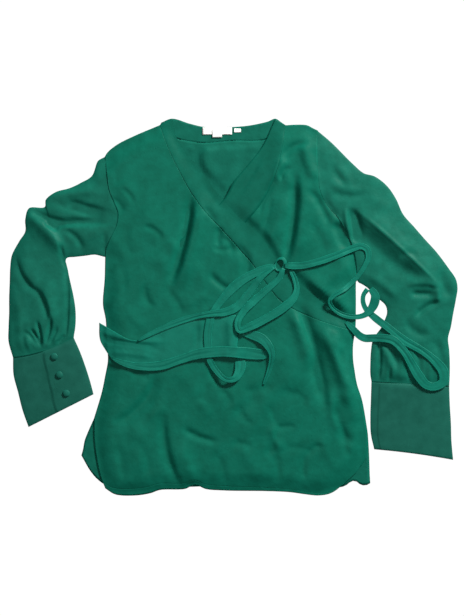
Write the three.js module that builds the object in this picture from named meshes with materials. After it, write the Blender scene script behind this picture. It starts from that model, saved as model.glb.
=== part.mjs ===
// A wrap top laid flat on its back, at real size in millimetres, +Z up.
// The floor is z = 0 and +Y runs from the hem to the neck. Right and left are the wearer's,
// so the right sleeve lies at -X. The right front lies over the left front, and both tie ends
// lie knotted on top of them.
import * as THREE from 'three';

// Cloth
const LABEL_WALL = 1; // woven label
const WALL = 1.2; // one layer of cloth, with its turnings pressed in
const GAP = 0.3; // between pieces that are sewn together or lie on each other
const LAYER = WALL + GAP; // height that each layer adds
const BACK_TOP = WALL; // the back lies on the floor
const UNDER_TOP = BACK_TOP + LAYER; // the left front lies on the back
const OVER_STEP = LAYER; // the right front climbs this much over the left front
const LOFT = 2.2; // air under a loose panel, away from its seams
const LOFT_REACH = 34; // distance from a seam at which the panel has its full loft

// Closed tubes, laid flat
const SLEEVE_EDGE = 2.9; // height of a sleeve's folded edge
const CUFF_EDGE = 3.4; // a cuff is firmer
const CUFF_CROWN = 0.9;

// Ties
const TIE_STEP = 15; // distance between two sections of a tie
const TIE_CLEAR = 0.35; // a tie lies this much above what is under it
const TIE_PROFILE = [1.6, 3.5, 3.3, 1.6]; // heights across a tie that is bunched lengthwise

// Cells along the seams that two pieces share, so that their edges run side by side
const SEAM = {
  shoulderRight: 5, shoulderLeft: 3, armhole: 12, armholeBelow: 6, overBand: 20, backNeck: 9, underShown: 9,
  underHidden: 5,
};

// Colours
const EMERALD = 0x126655;
const EMERALD_INSIDE = 0x166a57;
const LABEL_WHITE = 0xf2f1ea;

const { clamp, lerp, smoothstep } = THREE.MathUtils;
const top = new THREE.Group();

// Tables

// Gives each row of a table its column names
function table(columns, ...rows) {
  return rows.map((row) => Object.fromEntries(columns.map((name, i) => [name, row[i]])));
}

// One smooth run of an outline through points [x, y]
function run(...points) {
  const corners = points.map(([x, y]) => new THREE.Vector3(x, y, 0));
  return new THREE.CatmullRomCurve3(corners, false, 'centripetal');
}

// An edge of a piece, walked at an even pace
function edge(part) {
  return (t) => part.getPointAt(clamp(t, 0, 1));
}

// An edge made of others, [edge, cells] each, so that every corner falls between two cells
function chain(...parts) {
  const total = parts.reduce((sum, [, cells]) => sum + cells, 0);
  return (t) => {
    let rest = clamp(t, 0, 1) * total;
    let last = parts.length - 1;
    let i = 0;
    while (i < last && rest >= parts[i][1] - 1e-9) {
      rest -= parts[i][1];
      i += 1;
    }
    return parts[i][0](rest / parts[i][1]);
  };
}

// The same edge, walked the other way
function reversed(side) {
  return (t) => side(1 - t);
}

// The edge moved sideways in plan, to its left as it is walked
function moved(side, distance) {
  const step = 0.004;
  return (t) => {
    const ahead = side(Math.min(1, t + step));
    const behind = side(Math.max(0, t - step));
    const along = ahead.sub(behind).normalize();
    const point = side(t);
    return new THREE.Vector3(point.x - along.y * distance, point.y + along.x * distance, 0);
  };
}

// Distance inside a closed outline, negative outside
function insetOf(...sides) {
  const perSide = 40;
  const ring = sides.flatMap((side) => Array.from({ length: perSide }, (_, i) => side(i / perSide)));
  return (x, y) => {
    let nearest = Infinity;
    let inside = false;
    ring.forEach((a, i) => {
      const b = ring[(i + 1) % ring.length];
      const dx = b.x - a.x;
      const dy = b.y - a.y;
      const share = clamp(((x - a.x) * dx + (y - a.y) * dy) / (dx * dx + dy * dy || 1), 0, 1);
      nearest = Math.min(nearest, Math.hypot(x - a.x - share * dx, y - a.y - share * dy));
      const spans = a.y > y !== b.y > y;
      if (spans && x < a.x + (dx * (y - a.y)) / dy) inside = !inside;
    });
    return inside ? nearest : -nearest;
  };
}

// Folds

const FOLD = ['fromX', 'fromY', 'toX', 'toY', 'bow', 'height', 'leftWidth', 'rightWidth'];

// Height that one ridge (or trough, below zero) adds at a point. It follows a bowed line and
// dies away at both ends; its two flanks may be unequal, as on a fold that leans over.
function foldHeight(fold, x, y) {
  const dx = fold.toX - fold.fromX;
  const dy = fold.toY - fold.fromY;
  const length = Math.hypot(dx, dy);
  const share = ((x - fold.fromX) * dx + (y - fold.fromY) * dy) / (length * length);
  const onLine = clamp(share, 0, 1);
  const bowed = fold.bow * 4 * onLine * (1 - onLine);
  const off = ((y - fold.fromY) * dx - (x - fold.fromX) * dy) / length - bowed;
  const width = off > 0 ? fold.leftWidth : fold.rightWidth;
  const ends = smoothstep(share, -0.12, 0.25) * (1 - smoothstep(share, 0.75, 1.12));
  return fold.height * ends * Math.exp(-((off / width) ** 2));
}

// Sum of all folds of a table
function relief(folds) {
  return (x, y) => folds.reduce((sum, fold) => sum + foldHeight(fold, x, y), 0);
}

// A height that never sinks below zero, with a soft bend where it would
function aboveFloor(height) {
  const softness = 0.5;
  return (height + Math.sqrt(height * height + softness * softness)) / 2;
}

// Solids

// Makes a closed mesh geometry whose faces point out
function solid(vertices, faces) {
  const corner = (face, i) => vertices[face[i]];
  const sixVolumes = faces.reduce(
    (sum, face) => sum + corner(face, 0).dot(corner(face, 1).clone().cross(corner(face, 2))),
    0,
  );
  const outward = sixVolumes < 0 ? faces.map(([a, b, c]) => [a, c, b]) : faces;
  const geometry = new THREE.BufferGeometry();
  geometry.setFromPoints(vertices);
  geometry.setIndex(outward.flat());
  geometry.computeVertexNormals();
  return geometry;
}

// Two triangles for each cell between two rows of vertex numbers
function quad(a, b, c, d) {
  return [[a, b, c], [a, c, d]];
}

// A closed wall between an upper and a lower grid of points with equal rows and columns
function wallBetween(upper, lower) {
  const rows = upper.length;
  const columns = upper[0].length;
  const vertices = [...upper.flat(), ...lower.flat()];
  const up = (j, i) => j * columns + i;
  const down = (j, i) => rows * columns + up(j, i);
  const faces = [];
  for (let j = 0; j + 1 < rows; j += 1) {
    for (let i = 0; i + 1 < columns; i += 1) {
      faces.push(...quad(up(j, i), up(j + 1, i), up(j + 1, i + 1), up(j, i + 1)));
      faces.push(...quad(down(j, i), down(j, i + 1), down(j + 1, i + 1), down(j + 1, i)));
    }
  }
  const rim = [];
  for (let i = 0; i + 1 < columns; i += 1) rim.push([0, i]);
  for (let j = 0; j + 1 < rows; j += 1) rim.push([j, columns - 1]);
  for (let i = columns - 1; i > 0; i -= 1) rim.push([rows - 1, i]);
  for (let j = rows - 1; j > 0; j -= 1) rim.push([j, 0]);
  rim.forEach(([j, i], k) => {
    const [nextJ, nextI] = rim[(k + 1) % rim.length];
    faces.push(...quad(up(j, i), up(nextJ, nextI), down(nextJ, nextI), down(j, i)));
  });
  return solid(vertices, faces);
}

// A cut piece of cloth: plan(u, v) gives its place and height(point, u, v) its upper face
function sheet(plan, height, across, along, wall = WALL) {
  const grid = Array.from({ length: along + 1 }, (_, j) =>
    Array.from({ length: across + 1 }, (_, i) => {
      const point = plan(i / across, j / along);
      point.z = height(point, i / across, j / along);
      return point;
    }),
  );
  const lower = grid.map((row) => row.map((point) => new THREE.Vector3(point.x, point.y, point.z - wall)));
  return wallBetween(grid, lower);
}

// Fills the space between four edges: top and bottom run left to right, the sides downward
function between(topSide, bottomSide, leftSide, rightSide) {
  return (u, v) => {
    const blend = topSide(u).multiplyScalar(1 - v).addScaledVector(bottomSide(u), v);
    blend.addScaledVector(leftSide(v), 1 - u).addScaledVector(rightSide(v), u);
    blend.addScaledVector(topSide(0), -(1 - u) * (1 - v)).addScaledVector(topSide(1), -u * (1 - v));
    return blend.addScaledVector(bottomSide(0), -(1 - u) * v).addScaledVector(bottomSide(1), -u * v);
  };
}

// A strip between two edges that are walked the same way
function strip(nearSide, farSide) {
  return (u, v) => nearSide(v).lerp(farSide(v), u);
}

// A closed tube laid flat: at each station, placeAt(s) gives the points from its inner to its
// outer edge. heightAt(point, c, s) is its upper face, and the lower ply lies on the floor.
function flatTube(placeAt, heightAt, stations, across) {
  const outer = [];
  const inner = [];
  for (let k = 0; k <= stations; k += 1) {
    const s = k / stations;
    const place = placeAt(s);
    const inset = WALL / place(0).distanceTo(place(1));
    const upper = (c, drop) => {
      const point = place(drop ? clamp(c, inset, 1 - inset) : c);
      point.z = heightAt(place(c), c, s) - drop;
      return point;
    };
    const lower = (c, rise) => {
      const point = place(rise ? clamp(c, inset, 1 - inset) : c);
      point.z = rise;
      return point;
    };
    const shares = (count) => Array.from({ length: count + 1 }, (_, i) => i / count);
    const ring = (thickness) => [
      ...shares(across).map((c) => upper(c, thickness)),
      ...shares(SEAM.armholeBelow).map((c) => lower(1 - c, thickness)),
    ];
    outer.push(ring(0));
    inner.push(ring(WALL));
  }
  const size = outer[0].length;
  const vertices = [...outer.flat(), ...inner.flat()];
  const out = (k, i) => k * size + (i % size);
  const into = (k, i) => (stations + 1) * size + out(k, i);
  const faces = [];
  for (let i = 0; i < size; i += 1) {
    for (let k = 0; k < stations; k += 1) {
      faces.push(...quad(out(k, i), out(k + 1, i), out(k + 1, i + 1), out(k, i + 1)));
      faces.push(...quad(into(k, i), into(k, i + 1), into(k + 1, i + 1), into(k + 1, i)));
    }
    faces.push(...quad(out(0, i), out(0, i + 1), into(0, i + 1), into(0, i)));
    faces.push(...quad(out(stations, i), into(stations, i), into(stations, i + 1), out(stations, i + 1)));
  }
  return solid(vertices, faces);
}

// Adds a named piece to the garment
function addPiece(name, geometry, color = EMERALD, roughness = 0.55) {
  const material = new THREE.MeshStandardMaterial({ color, roughness, metalness: 0 });
  const mesh = new THREE.Mesh(geometry, material);
  mesh.name = name;
  top.add(mesh);
  return mesh;
}

// Outline of the body

const rightShoulder = run([-230, 270], [-224, 279], [-206, 293], [-176, 308], [-143, 322], [-131, 327]);
const rightArmhole = run([-230, 270], [-226, 238], [-222, 211], [-213, 187], [-206, 169], [-208, 148],
  [-219, 124], [-228, 103], [-229, 90]);
const rightSideSeam = run([-229, 90], [-230, 50], [-233, 5], [-228, -23], [-226, -68], [-224, -95],
  [-229, -124], [-235, -153], [-249, -200]);
const leftShoulder = run([95, 327], [112, 328], [134, 327], [144, 322], [154, 317]);
const leftArmhole = run([154, 317], [152, 285], [154, 245], [159, 207], [174, 180], [190, 162],
  [205, 142], [224, 112]);
const leftSideSeam = run([224, 112], [224, 80], [222, 43], [222, 5], [221, -41], [217, -67], [217, -95],
  [219, -110], [224, -139], [233, -167], [240, -205], [244, -232]);

// Neckline: the seam that joins the bands to the panels, and the bands' free edges
const backNeckSeam = run([-131, 326], [-102, 305], [-50, 296], [-4, 300], [57, 302], [88, 322]);
const backNeckEdge = run([-128, 332], [-109, 339], [-77, 330], [-50, 324], [0, 324], [32, 327], [64, 334],
  [77, 339], [90, 331]);
const overSeam = run([-131, 327], [-116, 286], [-94, 240], [-74, 204], [-52, 174], [-31, 151], [1, 116],
  [36, 76], [60, 43], [86, 11], [140, -18], [214, -43]);
const overNeckEdge = run([-109, 339], [-101, 306], [-76, 266], [-50, 237], [-34, 212], [-18, 194], [11, 162],
  [30, 145], [48, 127], [62, 108], [75, 87], [90, 68], [122, 42], [167, 4], [221, -38]);
const underSeamShown = run([95, 327], [86, 270], [70, 220], [50, 184], [26, 155]);
const underSeamHidden = run([26, 155], [-30, 110], [-100, 45], [-168, -18], [-204, -49]);
const underNeckEdge = run([77, 339], [69, 320], [60, 300], [49, 282], [22, 249], [1, 224], [-14, 196],
  [-62, 149], [-130, 88], [-190, 30], [-211, 5]);

// The left front is hidden under the right one, so its free edges are plain
const slitEdge = run([-211, 5], [-206, -30], [-204, -50]);
const underFrontEdge = run([-204, -50], [-212, -120], [-222, -190], [-226, -250], [-214, -310]);
const underHem = run([-214, -310], [-120, -314], [20, -316], [120, -318], [190, -306]);
const leftVent = run([244, -232], [243, -262], [228, -290], [190, -306]);

// Hems
const overVentLeft = run([-249, -200], [-249, -232], [-246, -262], [-238, -302], [-229, -326]);
const overHem = run([-229, -326], [-211, -337], [-175, -339], [-148, -335], [-130, -329], [-85, -327],
  [-72, -321], [-62, -321], [-49, -327], [-13, -330], [60, -331], [103, -333], [132, -337], [154, -339],
  [174, -336], [187, -329], [198, -319]);
const overFreeEdge = run([214, -43], [214, -70], [214, -97], [216, -112], [221, -140], [230, -168],
  [238, -205], [242, -232]);
const overVentRight = run([242, -232], [239, -262], [226, -292], [212, -307], [198, -319]);
const backRightVent = run([-249, -200], [-258, -220], [-266, -240], [-269, -256], [-272, -267]);
const backHem = run([-272, -267], [-266, -278], [-256, -295], [-242, -311], [-226, -321], [-150, -325],
  [0, -322], [150, -326], [200, -323], [214, -314], [221, -313], [231, -320], [240, -321], [248, -317]);
const backLeftVent = run([244, -232], [246, -268], [247, -300], [248, -317]);

// Panels

// The armholes lead on into the sleeves, so the loft of the fronts doesn't end there
const rightArmOpening = run([-230, 270], [-330, 180], [-229, 90]);
const leftArmOpening = run([154, 317], [300, 240], [224, 112]);
const neckLine = run([-131, 327], [-109, 339], [77, 339], [95, 327]);

const bodyInset = insetOf(
  edge(rightShoulder),
  edge(neckLine),
  edge(leftShoulder),
  edge(leftArmOpening),
  edge(leftSideSeam),
  edge(overVentRight),
  reversed(edge(overHem)),
  reversed(edge(overVentLeft)),
  reversed(edge(rightSideSeam)),
  reversed(edge(rightArmOpening)),
);
const underInset = insetOf(
  edge(underNeckEdge),
  edge(slitEdge),
  edge(underFrontEdge),
  edge(underHem),
  reversed(edge(leftVent)),
  reversed(edge(leftSideSeam)),
  reversed(edge(leftArmhole)),
  reversed(edge(leftShoulder)),
);
const overInset = insetOf(
  edge(overNeckEdge),
  edge(overFreeEdge),
  edge(overVentRight),
  reversed(edge(overHem)),
  reversed(edge(overVentLeft)),
  reversed(edge(rightSideSeam)),
  reversed(edge(rightArmhole)),
  edge(rightShoulder),
);

const overFolds = table(FOLD,
  [-72, 198, -105, 42, 6, -3, 8, 6],
  [-58, 186, -90, 50, 7, 1.8, 18, 7],
  [-156, 146, -126, 122, 4, 1.6, 9, 6],
  [-203, 216, -178, 186, 4, 1.8, 10, 7],
  [-158, 180, -120, 120, -5, 1.2, 20, 20],
  [-24, 142, -26, 108, 0, -1.6, 7, 6],
  [6, 112, 20, 50, 14, -1.8, 8, 12],
  [-32, 104, 4, 102, -4, 1.2, 8, 8],
  [-40, 60, 0, 30, -5, -1.5, 7, 7],
  [-158, 34, -134, -4, -6, 1.8, 9, 8],
  [-136, -128, -206, -208, 10, -2.2, 14, 8],
  [-124, -196, -98, -316, -8, -2.0, 7, 10],
  [-92, -242, -62, -322, -6, 1.9, 14, 22],
  [-88, -218, -28, -242, -4, -1.4, 6, 6],
  [-168, -210, -170, -300, 3, 1.3, 16, 18],
  [112, -240, 130, -310, 4, -1.3, 8, 10],
  [70, -212, 86, -256, -3, 1.3, 9, 8],
  [18, -240, 60, -310, -6, 1.2, 18, 16],
  [102, 10, 141, -98, 3, 4, 8, 12],
  [124, -10, 168, -170, 0, -3.6, 10, 10],
  [148, -8, 218, -168, 4, 4.6, 12, 8],
  [186, -172, 214, -250, -7, -2.8, 10, 9],
  [196, -150, 224, -206, 4, 2.0, 9, 9],
  [176, -150, 198, -232, -6, 1.8, 12, 9],
  [60, -60, 106, -150, 8, 1.4, 26, 24],
  [-30, -150, 56, -230, 10, 1.0, 30, 30]);

const underFolds = table(FOLD,
  [115, 228, 98, 82, 6, -3.2, 8, 6],
  [129, 234, 113, 88, 6, 2.2, 18, 7],
  [76, 226, 48, 168, -4, -1.2, 6, 8],
  [94, 266, 78, 228, -4, 1.4, 8, 8],
  [88, 200, 66, 120, 6, 1.3, 12, 10],
  [136, 210, 174, 142, 6, -1.8, 8, 8],
  [128, 296, 148, 230, -4, 2.2, 12, 9],
  [186, 150, 206, 104, 4, -2.2, 10, 8],
  [150, 20, 208, 72, 6, 1.8, 12, 12],
  [168, -2, 200, 30, -4, 1.8, 9, 9]);

const overRelief = relief(overFolds);
const underRelief = relief(underFolds);

// Lowest upper face of the right front: it lies on the back and climbs over the left front
function overLevel(point) {
  return UNDER_TOP + OVER_STEP * smoothstep(underInset(point.x, point.y), -9, -1.5);
}

// Upper face of the right front
function overHeight(point) {
  const loft = LOFT * smoothstep(bodyInset(point.x, point.y), 0, LOFT_REACH);
  const free = smoothstep(bodyInset(point.x, point.y), 1, 12);
  const folds = overRelief(point.x, point.y) * free;
  return overLevel(point) + aboveFloor(loft + folds);
}

// Upper face of the left front, which is pressed flat where the right front covers it
function underHeight(point) {
  const clear = smoothstep(-overInset(point.x, point.y), 10, 34);
  const loft = LOFT * smoothstep(bodyInset(point.x, point.y), 0, LOFT_REACH);
  const free = smoothstep(bodyInset(point.x, point.y), 1, 12);
  return UNDER_TOP + clear * aboveFloor(loft + underRelief(point.x, point.y) * free);
}

function buildPanels() {
  const backTop = chain([edge(rightShoulder), SEAM.shoulderRight], [edge(backNeckSeam), SEAM.backNeck],
    [edge(leftShoulder), SEAM.shoulderLeft]);
  const backRight = chain([edge(rightArmhole), SEAM.armholeBelow], [edge(rightSideSeam), 5],
    [edge(backRightVent), 2]);
  const backLeft = chain([edge(leftArmhole), SEAM.armholeBelow], [edge(leftSideSeam), 5],
    [edge(backLeftVent), 2]);
  const back = between(backTop, edge(backHem), backRight, backLeft);
  addPiece('back_panel', sheet(back, () => BACK_TOP, 17, 13), EMERALD_INSIDE);

  const underTop = chain([reversed(edge(underSeamHidden)), SEAM.underHidden],
    [reversed(edge(underSeamShown)), SEAM.underShown], [edge(leftShoulder), SEAM.shoulderLeft]);
  const underLeft = chain([edge(leftArmhole), SEAM.armhole], [edge(leftSideSeam), 7],
    [edge(leftVent), 1]);
  const under = between(underTop, edge(underHem), edge(underFrontEdge), underLeft);
  addPiece('left_front', sheet(under, underHeight, 17, 20));

  const overTop = chain([edge(rightShoulder), SEAM.shoulderRight], [edge(overSeam), SEAM.overBand]);
  const overRight = chain([edge(rightArmhole), SEAM.armhole], [edge(rightSideSeam), 9],
    [edge(overVentLeft), 4]);
  const overLeft = chain([edge(overFreeEdge), 17], [edge(overVentRight), 8]);
  const over = between(overTop, edge(overHem), overRight, overLeft);
  addPiece('right_front', sheet(over, overHeight, 25, 25));
}

// Neck bands: strips sewn along the necklines, a gap away from their panels
function buildNeckBands() {
  const cells = 2;
  const overBand = strip(moved(edge(overSeam), GAP), edge(overNeckEdge));
  const overBandHeight = (point, u) => {
    const panel = overHeight(point);
    return lerp(panel, Math.min(panel, overLevel(point) + 0.5), smoothstep(u, 0, 1));
  };
  addPiece('right_neck_band', sheet(overBand, overBandHeight, cells, SEAM.overBand));

  const underNear = chain([moved(edge(underSeamShown), -GAP), SEAM.underShown],
    [moved(edge(underSeamHidden), -GAP), SEAM.underHidden]);
  const underBandHeight = (point, u) => lerp(UNDER_TOP, underHeight(point), smoothstep(u, 0, 1));
  const underCells = SEAM.underShown + SEAM.underHidden;
  const underBand = strip(edge(underNeckEdge), underNear);
  addPiece('left_neck_band', sheet(underBand, underBandHeight, cells, underCells));

  const backBand = strip(moved(edge(backNeckSeam), GAP), edge(backNeckEdge));
  addPiece('back_neck_band', sheet(backBand, () => BACK_TOP, cells, SEAM.backNeck), EMERALD_INSIDE);
}

// Blank woven labels on the inside of the back band
function buildLabels() {
  const label = (name, left, right, lowY, highY, level) => {
    const plan = (u, v) => new THREE.Vector3(lerp(left, right, u), lerp(highY, lowY, v), 0);
    addPiece(name, sheet(plan, () => level, 1, 1, LABEL_WALL), LABEL_WHITE, 0.8);
  };
  const onBand = BACK_TOP + GAP + LABEL_WALL;
  label('main_label', -54, -1, 310, 323, onBand);
  label('label_tab', -36, -19, 305, 319, onBand + GAP + LABEL_WALL);
  label('size_label', 3, 15, 314, 321, onBand);
}

// Sleeves and cuffs

const STATION = ['inX', 'inY', 'outX', 'outY', 'bow'];

const rightSleeveStations = table(STATION,
  [-229, 88, -231, 270, 19],
  [-246, 94, -242, 263, 12],
  [-266, 92, -253, 236, 8],
  [-284, 90, -272, 224, 4],
  [-296, 89, -293, 214, 0],
  [-299, 87, -318, 207, 0],
  [-300, 84, -336, 193, -2],
  [-300, 81, -338, 180, -3],
  [-299, 78, -366, 178, -4],
  [-298, 74, -373, 158, -4],
  [-297, 70, -373, 136, -4],
  [-296, 66, -384, 118, -4],
  [-295, 60, -397, 93, -4],
  [-292, 46, -400, 72, -3],
  [-287, 24, -401, 44, -2],
  [-283, 0, -402, 16, 0],
  [-282, -20, -402, -10, 0],
  [-283, -38, -403, -36, 0],
  [-285, -50, -403, -62, -2],
  [-286, -54, -395, -90, -6]);

const leftSleeveStations = table(STATION,
  [224, 110, 154, 317, -23],
  [226, 99, 178, 296, -17],
  [226, 87, 197, 277, -12],
  [226, 74, 215, 259, -9],
  [225, 61, 236, 241, -6],
  [225, 52, 256, 235, -2],
  [226, 45, 278, 218, 2],
  [233, 41, 294, 195, 4],
  [241, 36, 307, 167, 4],
  [250, 28, 327, 144, 4],
  [259, 19, 347, 121, 4],
  [266, 12, 367, 99, 4],
  [273, 6, 388, 71, 4],
  [277, -1, 402, 50, 4],
  [278, -11, 405, 34, 3],
  [274, -23, 402, 13, 2],
  [267, -38, 397, -13, 2],
  [258, -50, 393, -36, 0],
  [252, -61, 388, -56, 0],
  [249, -81, 390, -77, 0],
  [248, -102, 391, -99, 0],
  [248, -121, 391, -121, 0],
  [250, -133, 390, -142, 0]);

const rightSleeveFolds = table(FOLD,
  [-366, 172, -306, 98, 6, 4.2, 9, 13],
  [-230, 172, -322, 188, 6, -2.4, 7, 9],
  [-240, 208, -340, 200, -4, 2.6, 10, 12],
  [-222, 144, -322, 140, 8, 3.0, 10, 6],
  [-272, 152, -246, 158, 3, 1.6, 6, 6],
  [-300, 138, -270, 104, 5, -2.0, 8, 8],
  [-392, 78, -332, -30, 22, -2.6, 6, 12],
  [-400, 70, -345, -40, 24, 2.0, 10, 8],
  [-309, 86, -298, -54, -8, 1.8, 9, 9],
  [-330, 60, -318, -40, -4, 1.4, 12, 12]);

const leftSleeveFolds = table(FOLD,
  [226, 172, 368, 34, -12, 5.0, 9, 12],
  [206, 198, 222, 130, -6, 2.2, 9, 8],
  [214, 170, 224, 130, 0, -2.8, 6, 8],
  [176, 206, 232, 208, -5, 2.2, 8, 7],
  [170, 226, 244, 194, -8, 2.4, 9, 8],
  [166, 262, 214, 214, 8, 1.8, 9, 9],
  [300, 60, 372, 40, -5, 4.0, 6, 9],
  [286, 22, 372, 18, 3, 4.0, 8, 7],
  [318, 2, 372, 6, 4, 3.0, 8, 8],
  [296, -22, 350, -30, -6, 2.4, 8, 8],
  [250, 92, 330, 30, 8, 2.2, 10, 10],
  [236, 60, 296, 14, 4, 2.0, 9, 8],
  [270, -66, 290, -124, 2, 2.4, 10, 8]);

// Gathers into a cuff: waves that run along the sleeve and grow towards the cuff seam
function gathers(count, height, startAt) {
  return (c, s) => {
    const grown = smoothstep(s, startAt, 0.97);
    const uneven = 0.7 + 0.3 * Math.sin(c * 17 + 2);
    return height * grown * uneven * (0.5 + 0.5 * Math.cos(c * count * 2 * Math.PI + Math.sin(c * 9)));
  };
}

// Points of a line from inner to outer edge that bends by bow
function bowedLine(from, to, bow) {
  const line = to.clone().sub(from);
  const side = new THREE.Vector3(line.y, -line.x, 0).normalize();
  return (c) => from.clone().addScaledVector(line, c).addScaledVector(side, bow * 4 * c * (1 - c));
}

// Reads a station table smoothly
function tubePlaces(stations) {
  const inner = run(...stations.map((row) => [row.inX, row.inY]));
  const outer = run(...stations.map((row) => [row.outX, row.outY]));
  return (s) => {
    const place = s * (stations.length - 1);
    const row = Math.min(stations.length - 2, Math.floor(place));
    const bow = lerp(stations[row].bow, stations[row + 1].bow, place - row);
    return bowedLine(inner.getPoint(s), outer.getPoint(s), bow);
  };
}

// A sleeve's first station is the armhole seam itself, walked upward
function sleevePlaces(stations, armhole) {
  const places = tubePlaces(stations);
  return (s) => (s === 0 ? (c) => armhole(1 - c) : places(s));
}

// Rounds a flat tube's face down to its two folded edges
function rounded(c) {
  return Math.sin(Math.PI * c) ** 0.5;
}

function sleeveHeight(folds, gather, crown) {
  const foldsAt = relief(folds);
  return (point, c, s) => {
    const lift = crown + foldsAt(point.x, point.y) + gather(c, s);
    return SLEEVE_EDGE + rounded(c) * aboveFloor(lift);
  };
}

function buildSleeves() {
  const rightHeight = sleeveHeight(rightSleeveFolds, gathers(7, 2.4, 0.86), 2.2);
  const rightPlaces = sleevePlaces(rightSleeveStations, moved(edge(rightArmhole), -GAP));
  addPiece('right_sleeve', flatTube(rightPlaces, rightHeight, 32, SEAM.armhole));
  const leftHeight = sleeveHeight(leftSleeveFolds, gathers(8, 2.4, 0.86), 2.2);
  const leftPlaces = sleevePlaces(leftSleeveStations, moved(edge(leftArmhole), GAP));
  addPiece('left_sleeve', flatTube(leftPlaces, leftHeight, 33, SEAM.armhole));
}

const rightCuffStations = table(STATION,
  [-286, -54.6, -395, -91, -6],
  [-275, -79, -394, -122, -4],
  [-265, -106, -386, -153, -2],
  [-257, -131, -378, -185, 0],
  [-250, -157, -367, -216, 0]);

const leftCuffStations = table(STATION,
  [250, -133.6, 390, -142.6, 0],
  [249, -165, 391, -175, 0],
  [248, -197, 393, -208, 0],
  [249, -229, 394, -241, 0],
  [255, -256, 397, -275, -2]);

// The buttoned edge laps over the cuff; place of the lap across the cuff at its seam and opening
const LAP_AT_SEAM = 0.52;
const LAP_AT_OPENING = 0.57;
const LAP_STEP = 1.1;

function cuffHeight(lapped) {
  return (point, c, s) => {
    const lap = lerp(LAP_AT_SEAM, LAP_AT_OPENING, s);
    const step = lapped ? LAP_STEP * smoothstep(lap - c, 0, 0.02) : 0;
    return CUFF_EDGE + (CUFF_CROWN + step) * rounded(c);
  };
}

function buildCuffs() {
  addPiece('right_cuff', flatTube(tubePlaces(rightCuffStations), cuffHeight(true), 4, 14));
  addPiece('left_cuff', flatTube(tubePlaces(leftCuffStations), cuffHeight(false), 4, 10));
}

// Three covered buttons, domed, in a row on the right cuff's lap
const BUTTON_RADIUS = 6.5;
const BUTTON_HEIGHT = 3.4;
const buttonPlaces = table(['x', 'y'], [-320, -89], [-311, -122], [-298.5, -155]);

function buildButtons() {
  const domeSteps = 4;
  const profile = [new THREE.Vector2(0, 0), new THREE.Vector2(BUTTON_RADIUS * 0.9, 0)];
  for (let i = 0; i <= domeSteps; i += 1) {
    const turn = (i / domeSteps) * (Math.PI / 2);
    const rise = lerp(BUTTON_HEIGHT * 0.3, BUTTON_HEIGHT, Math.sin(turn));
    profile.push(new THREE.Vector2(i === domeSteps ? 0 : BUTTON_RADIUS * Math.cos(turn), rise));
  }
  buttonPlaces.forEach(({ x, y }, i) => {
    const button = addPiece(`right_cuff_button_${i + 1}`, new THREE.LatheGeometry(profile, 14));
    button.rotation.x = Math.PI / 2;
    button.position.set(x, y, supportAt(x, y, BUTTON_RADIUS) + GAP);
  });
}

// Ties

const caster = new THREE.Raycaster();
const DOWN = new THREE.Vector3(0, 0, -1);
const SKY = 100;

const AROUND = [[0, 0], [1, 0], [-1, 0], [0, 1], [0, -1], [0.7, 0.7], [-0.7, 0.7], [0.7, -0.7], [-0.7, -0.7]];

// Height of the highest built piece around a point
function supportAt(x, y, reach) {
  let height = 0;
  for (const [dx, dy] of AROUND) {
    caster.set(new THREE.Vector3(x + dx * reach, y + dy * reach, SKY), DOWN);
    const [hit] = caster.intersectObjects(top.children, false);
    if (hit) height = Math.max(height, hit.point.z);
  }
  return height;
}

const ROUTE = ['x', 'y', 'width'];

// A tie lies along a route over whatever is there; its width is that of the bunched cloth
function tie(name, route) {
  const points = route.map(({ x, y }) => new THREE.Vector3(x, y, 0));
  const line = new THREE.CatmullRomCurve3(points, false, 'centripetal');
  const steps = Math.round(line.getLength() / TIE_STEP);
  const widths = new THREE.CatmullRomCurve3(
    route.map(({ width }, i) => new THREE.Vector3(i, width, 0)), false, 'centripetal');
  const stations = Array.from({ length: steps + 1 }, (_, i) => {
    const point = line.getPointAt(i / steps);
    const along = line.getTangentAt(i / steps);
    const half = widths.getPoint(line.getUtoTmapping(i / steps)).y / 2;
    return { point, half, side: new THREE.Vector3(-along.y, along.x, 0) };
  });
  const support = stations.map(({ point, half }) => supportAt(point.x, point.y, half + 2));
  let heights = support.map((_, i) => Math.max(...support.slice(Math.max(0, i - 1), i + 2)) + TIE_CLEAR);
  for (let pass = 0; pass < 2; pass += 1) {
    heights = heights.map((height, i) => {
      const before = heights[Math.max(0, i - 1)];
      const after = heights[Math.min(steps, i + 1)];
      return Math.max(height, (before + after) / 2);
    });
  }
  const last = TIE_PROFILE.length - 1;
  const grid = (thickness) => stations.map(({ point, half, side }, j) =>
    TIE_PROFILE.map((rise, i) => {
      const corner = point.clone().addScaledVector(side, lerp(-half, half, i / last));
      corner.z = heights[j] + thickness * rise;
      return corner;
    }));
  addPiece(name, wallBetween(grid(1), grid(0)));
}

const dropLoop = table(ROUTE,
  [72, 70, 11], [54, 66, 13], [37, 59, 14], [15, 46, 15], [-6, 28, 15], [-26, 4, 14], [-38, -16, 13],
  [-44, -45, 13], [-44, -72, 13], [-41, -94, 10], [-28, -116, 9], [-11, -130, 9], [4, -128, 13],
  [12, -116, 17], [14, -104, 19], [14, -92, 19]);

const lowerBand = table(ROUTE,
  [-208, -96, 14], [-186, -104, 15], [-166, -108, 15], [-128, -105, 15], [-95, -95, 16], [-60, -84, 17],
  [-20, -80, 18], [14, -82, 18], [46, -85, 18], [64, -86, 16]);

const upperBand = table(ROUTE,
  [-170, -61, 4], [-150, -50, 7], [-122, -37, 9], [-92, -25, 10], [-60, -16, 10], [-36, -12, 12],
  [-12, -9, 13], [6, -1, 14], [24, 18, 14], [42, 41, 13], [58, 56, 12], [72, 65, 11]);

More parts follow.
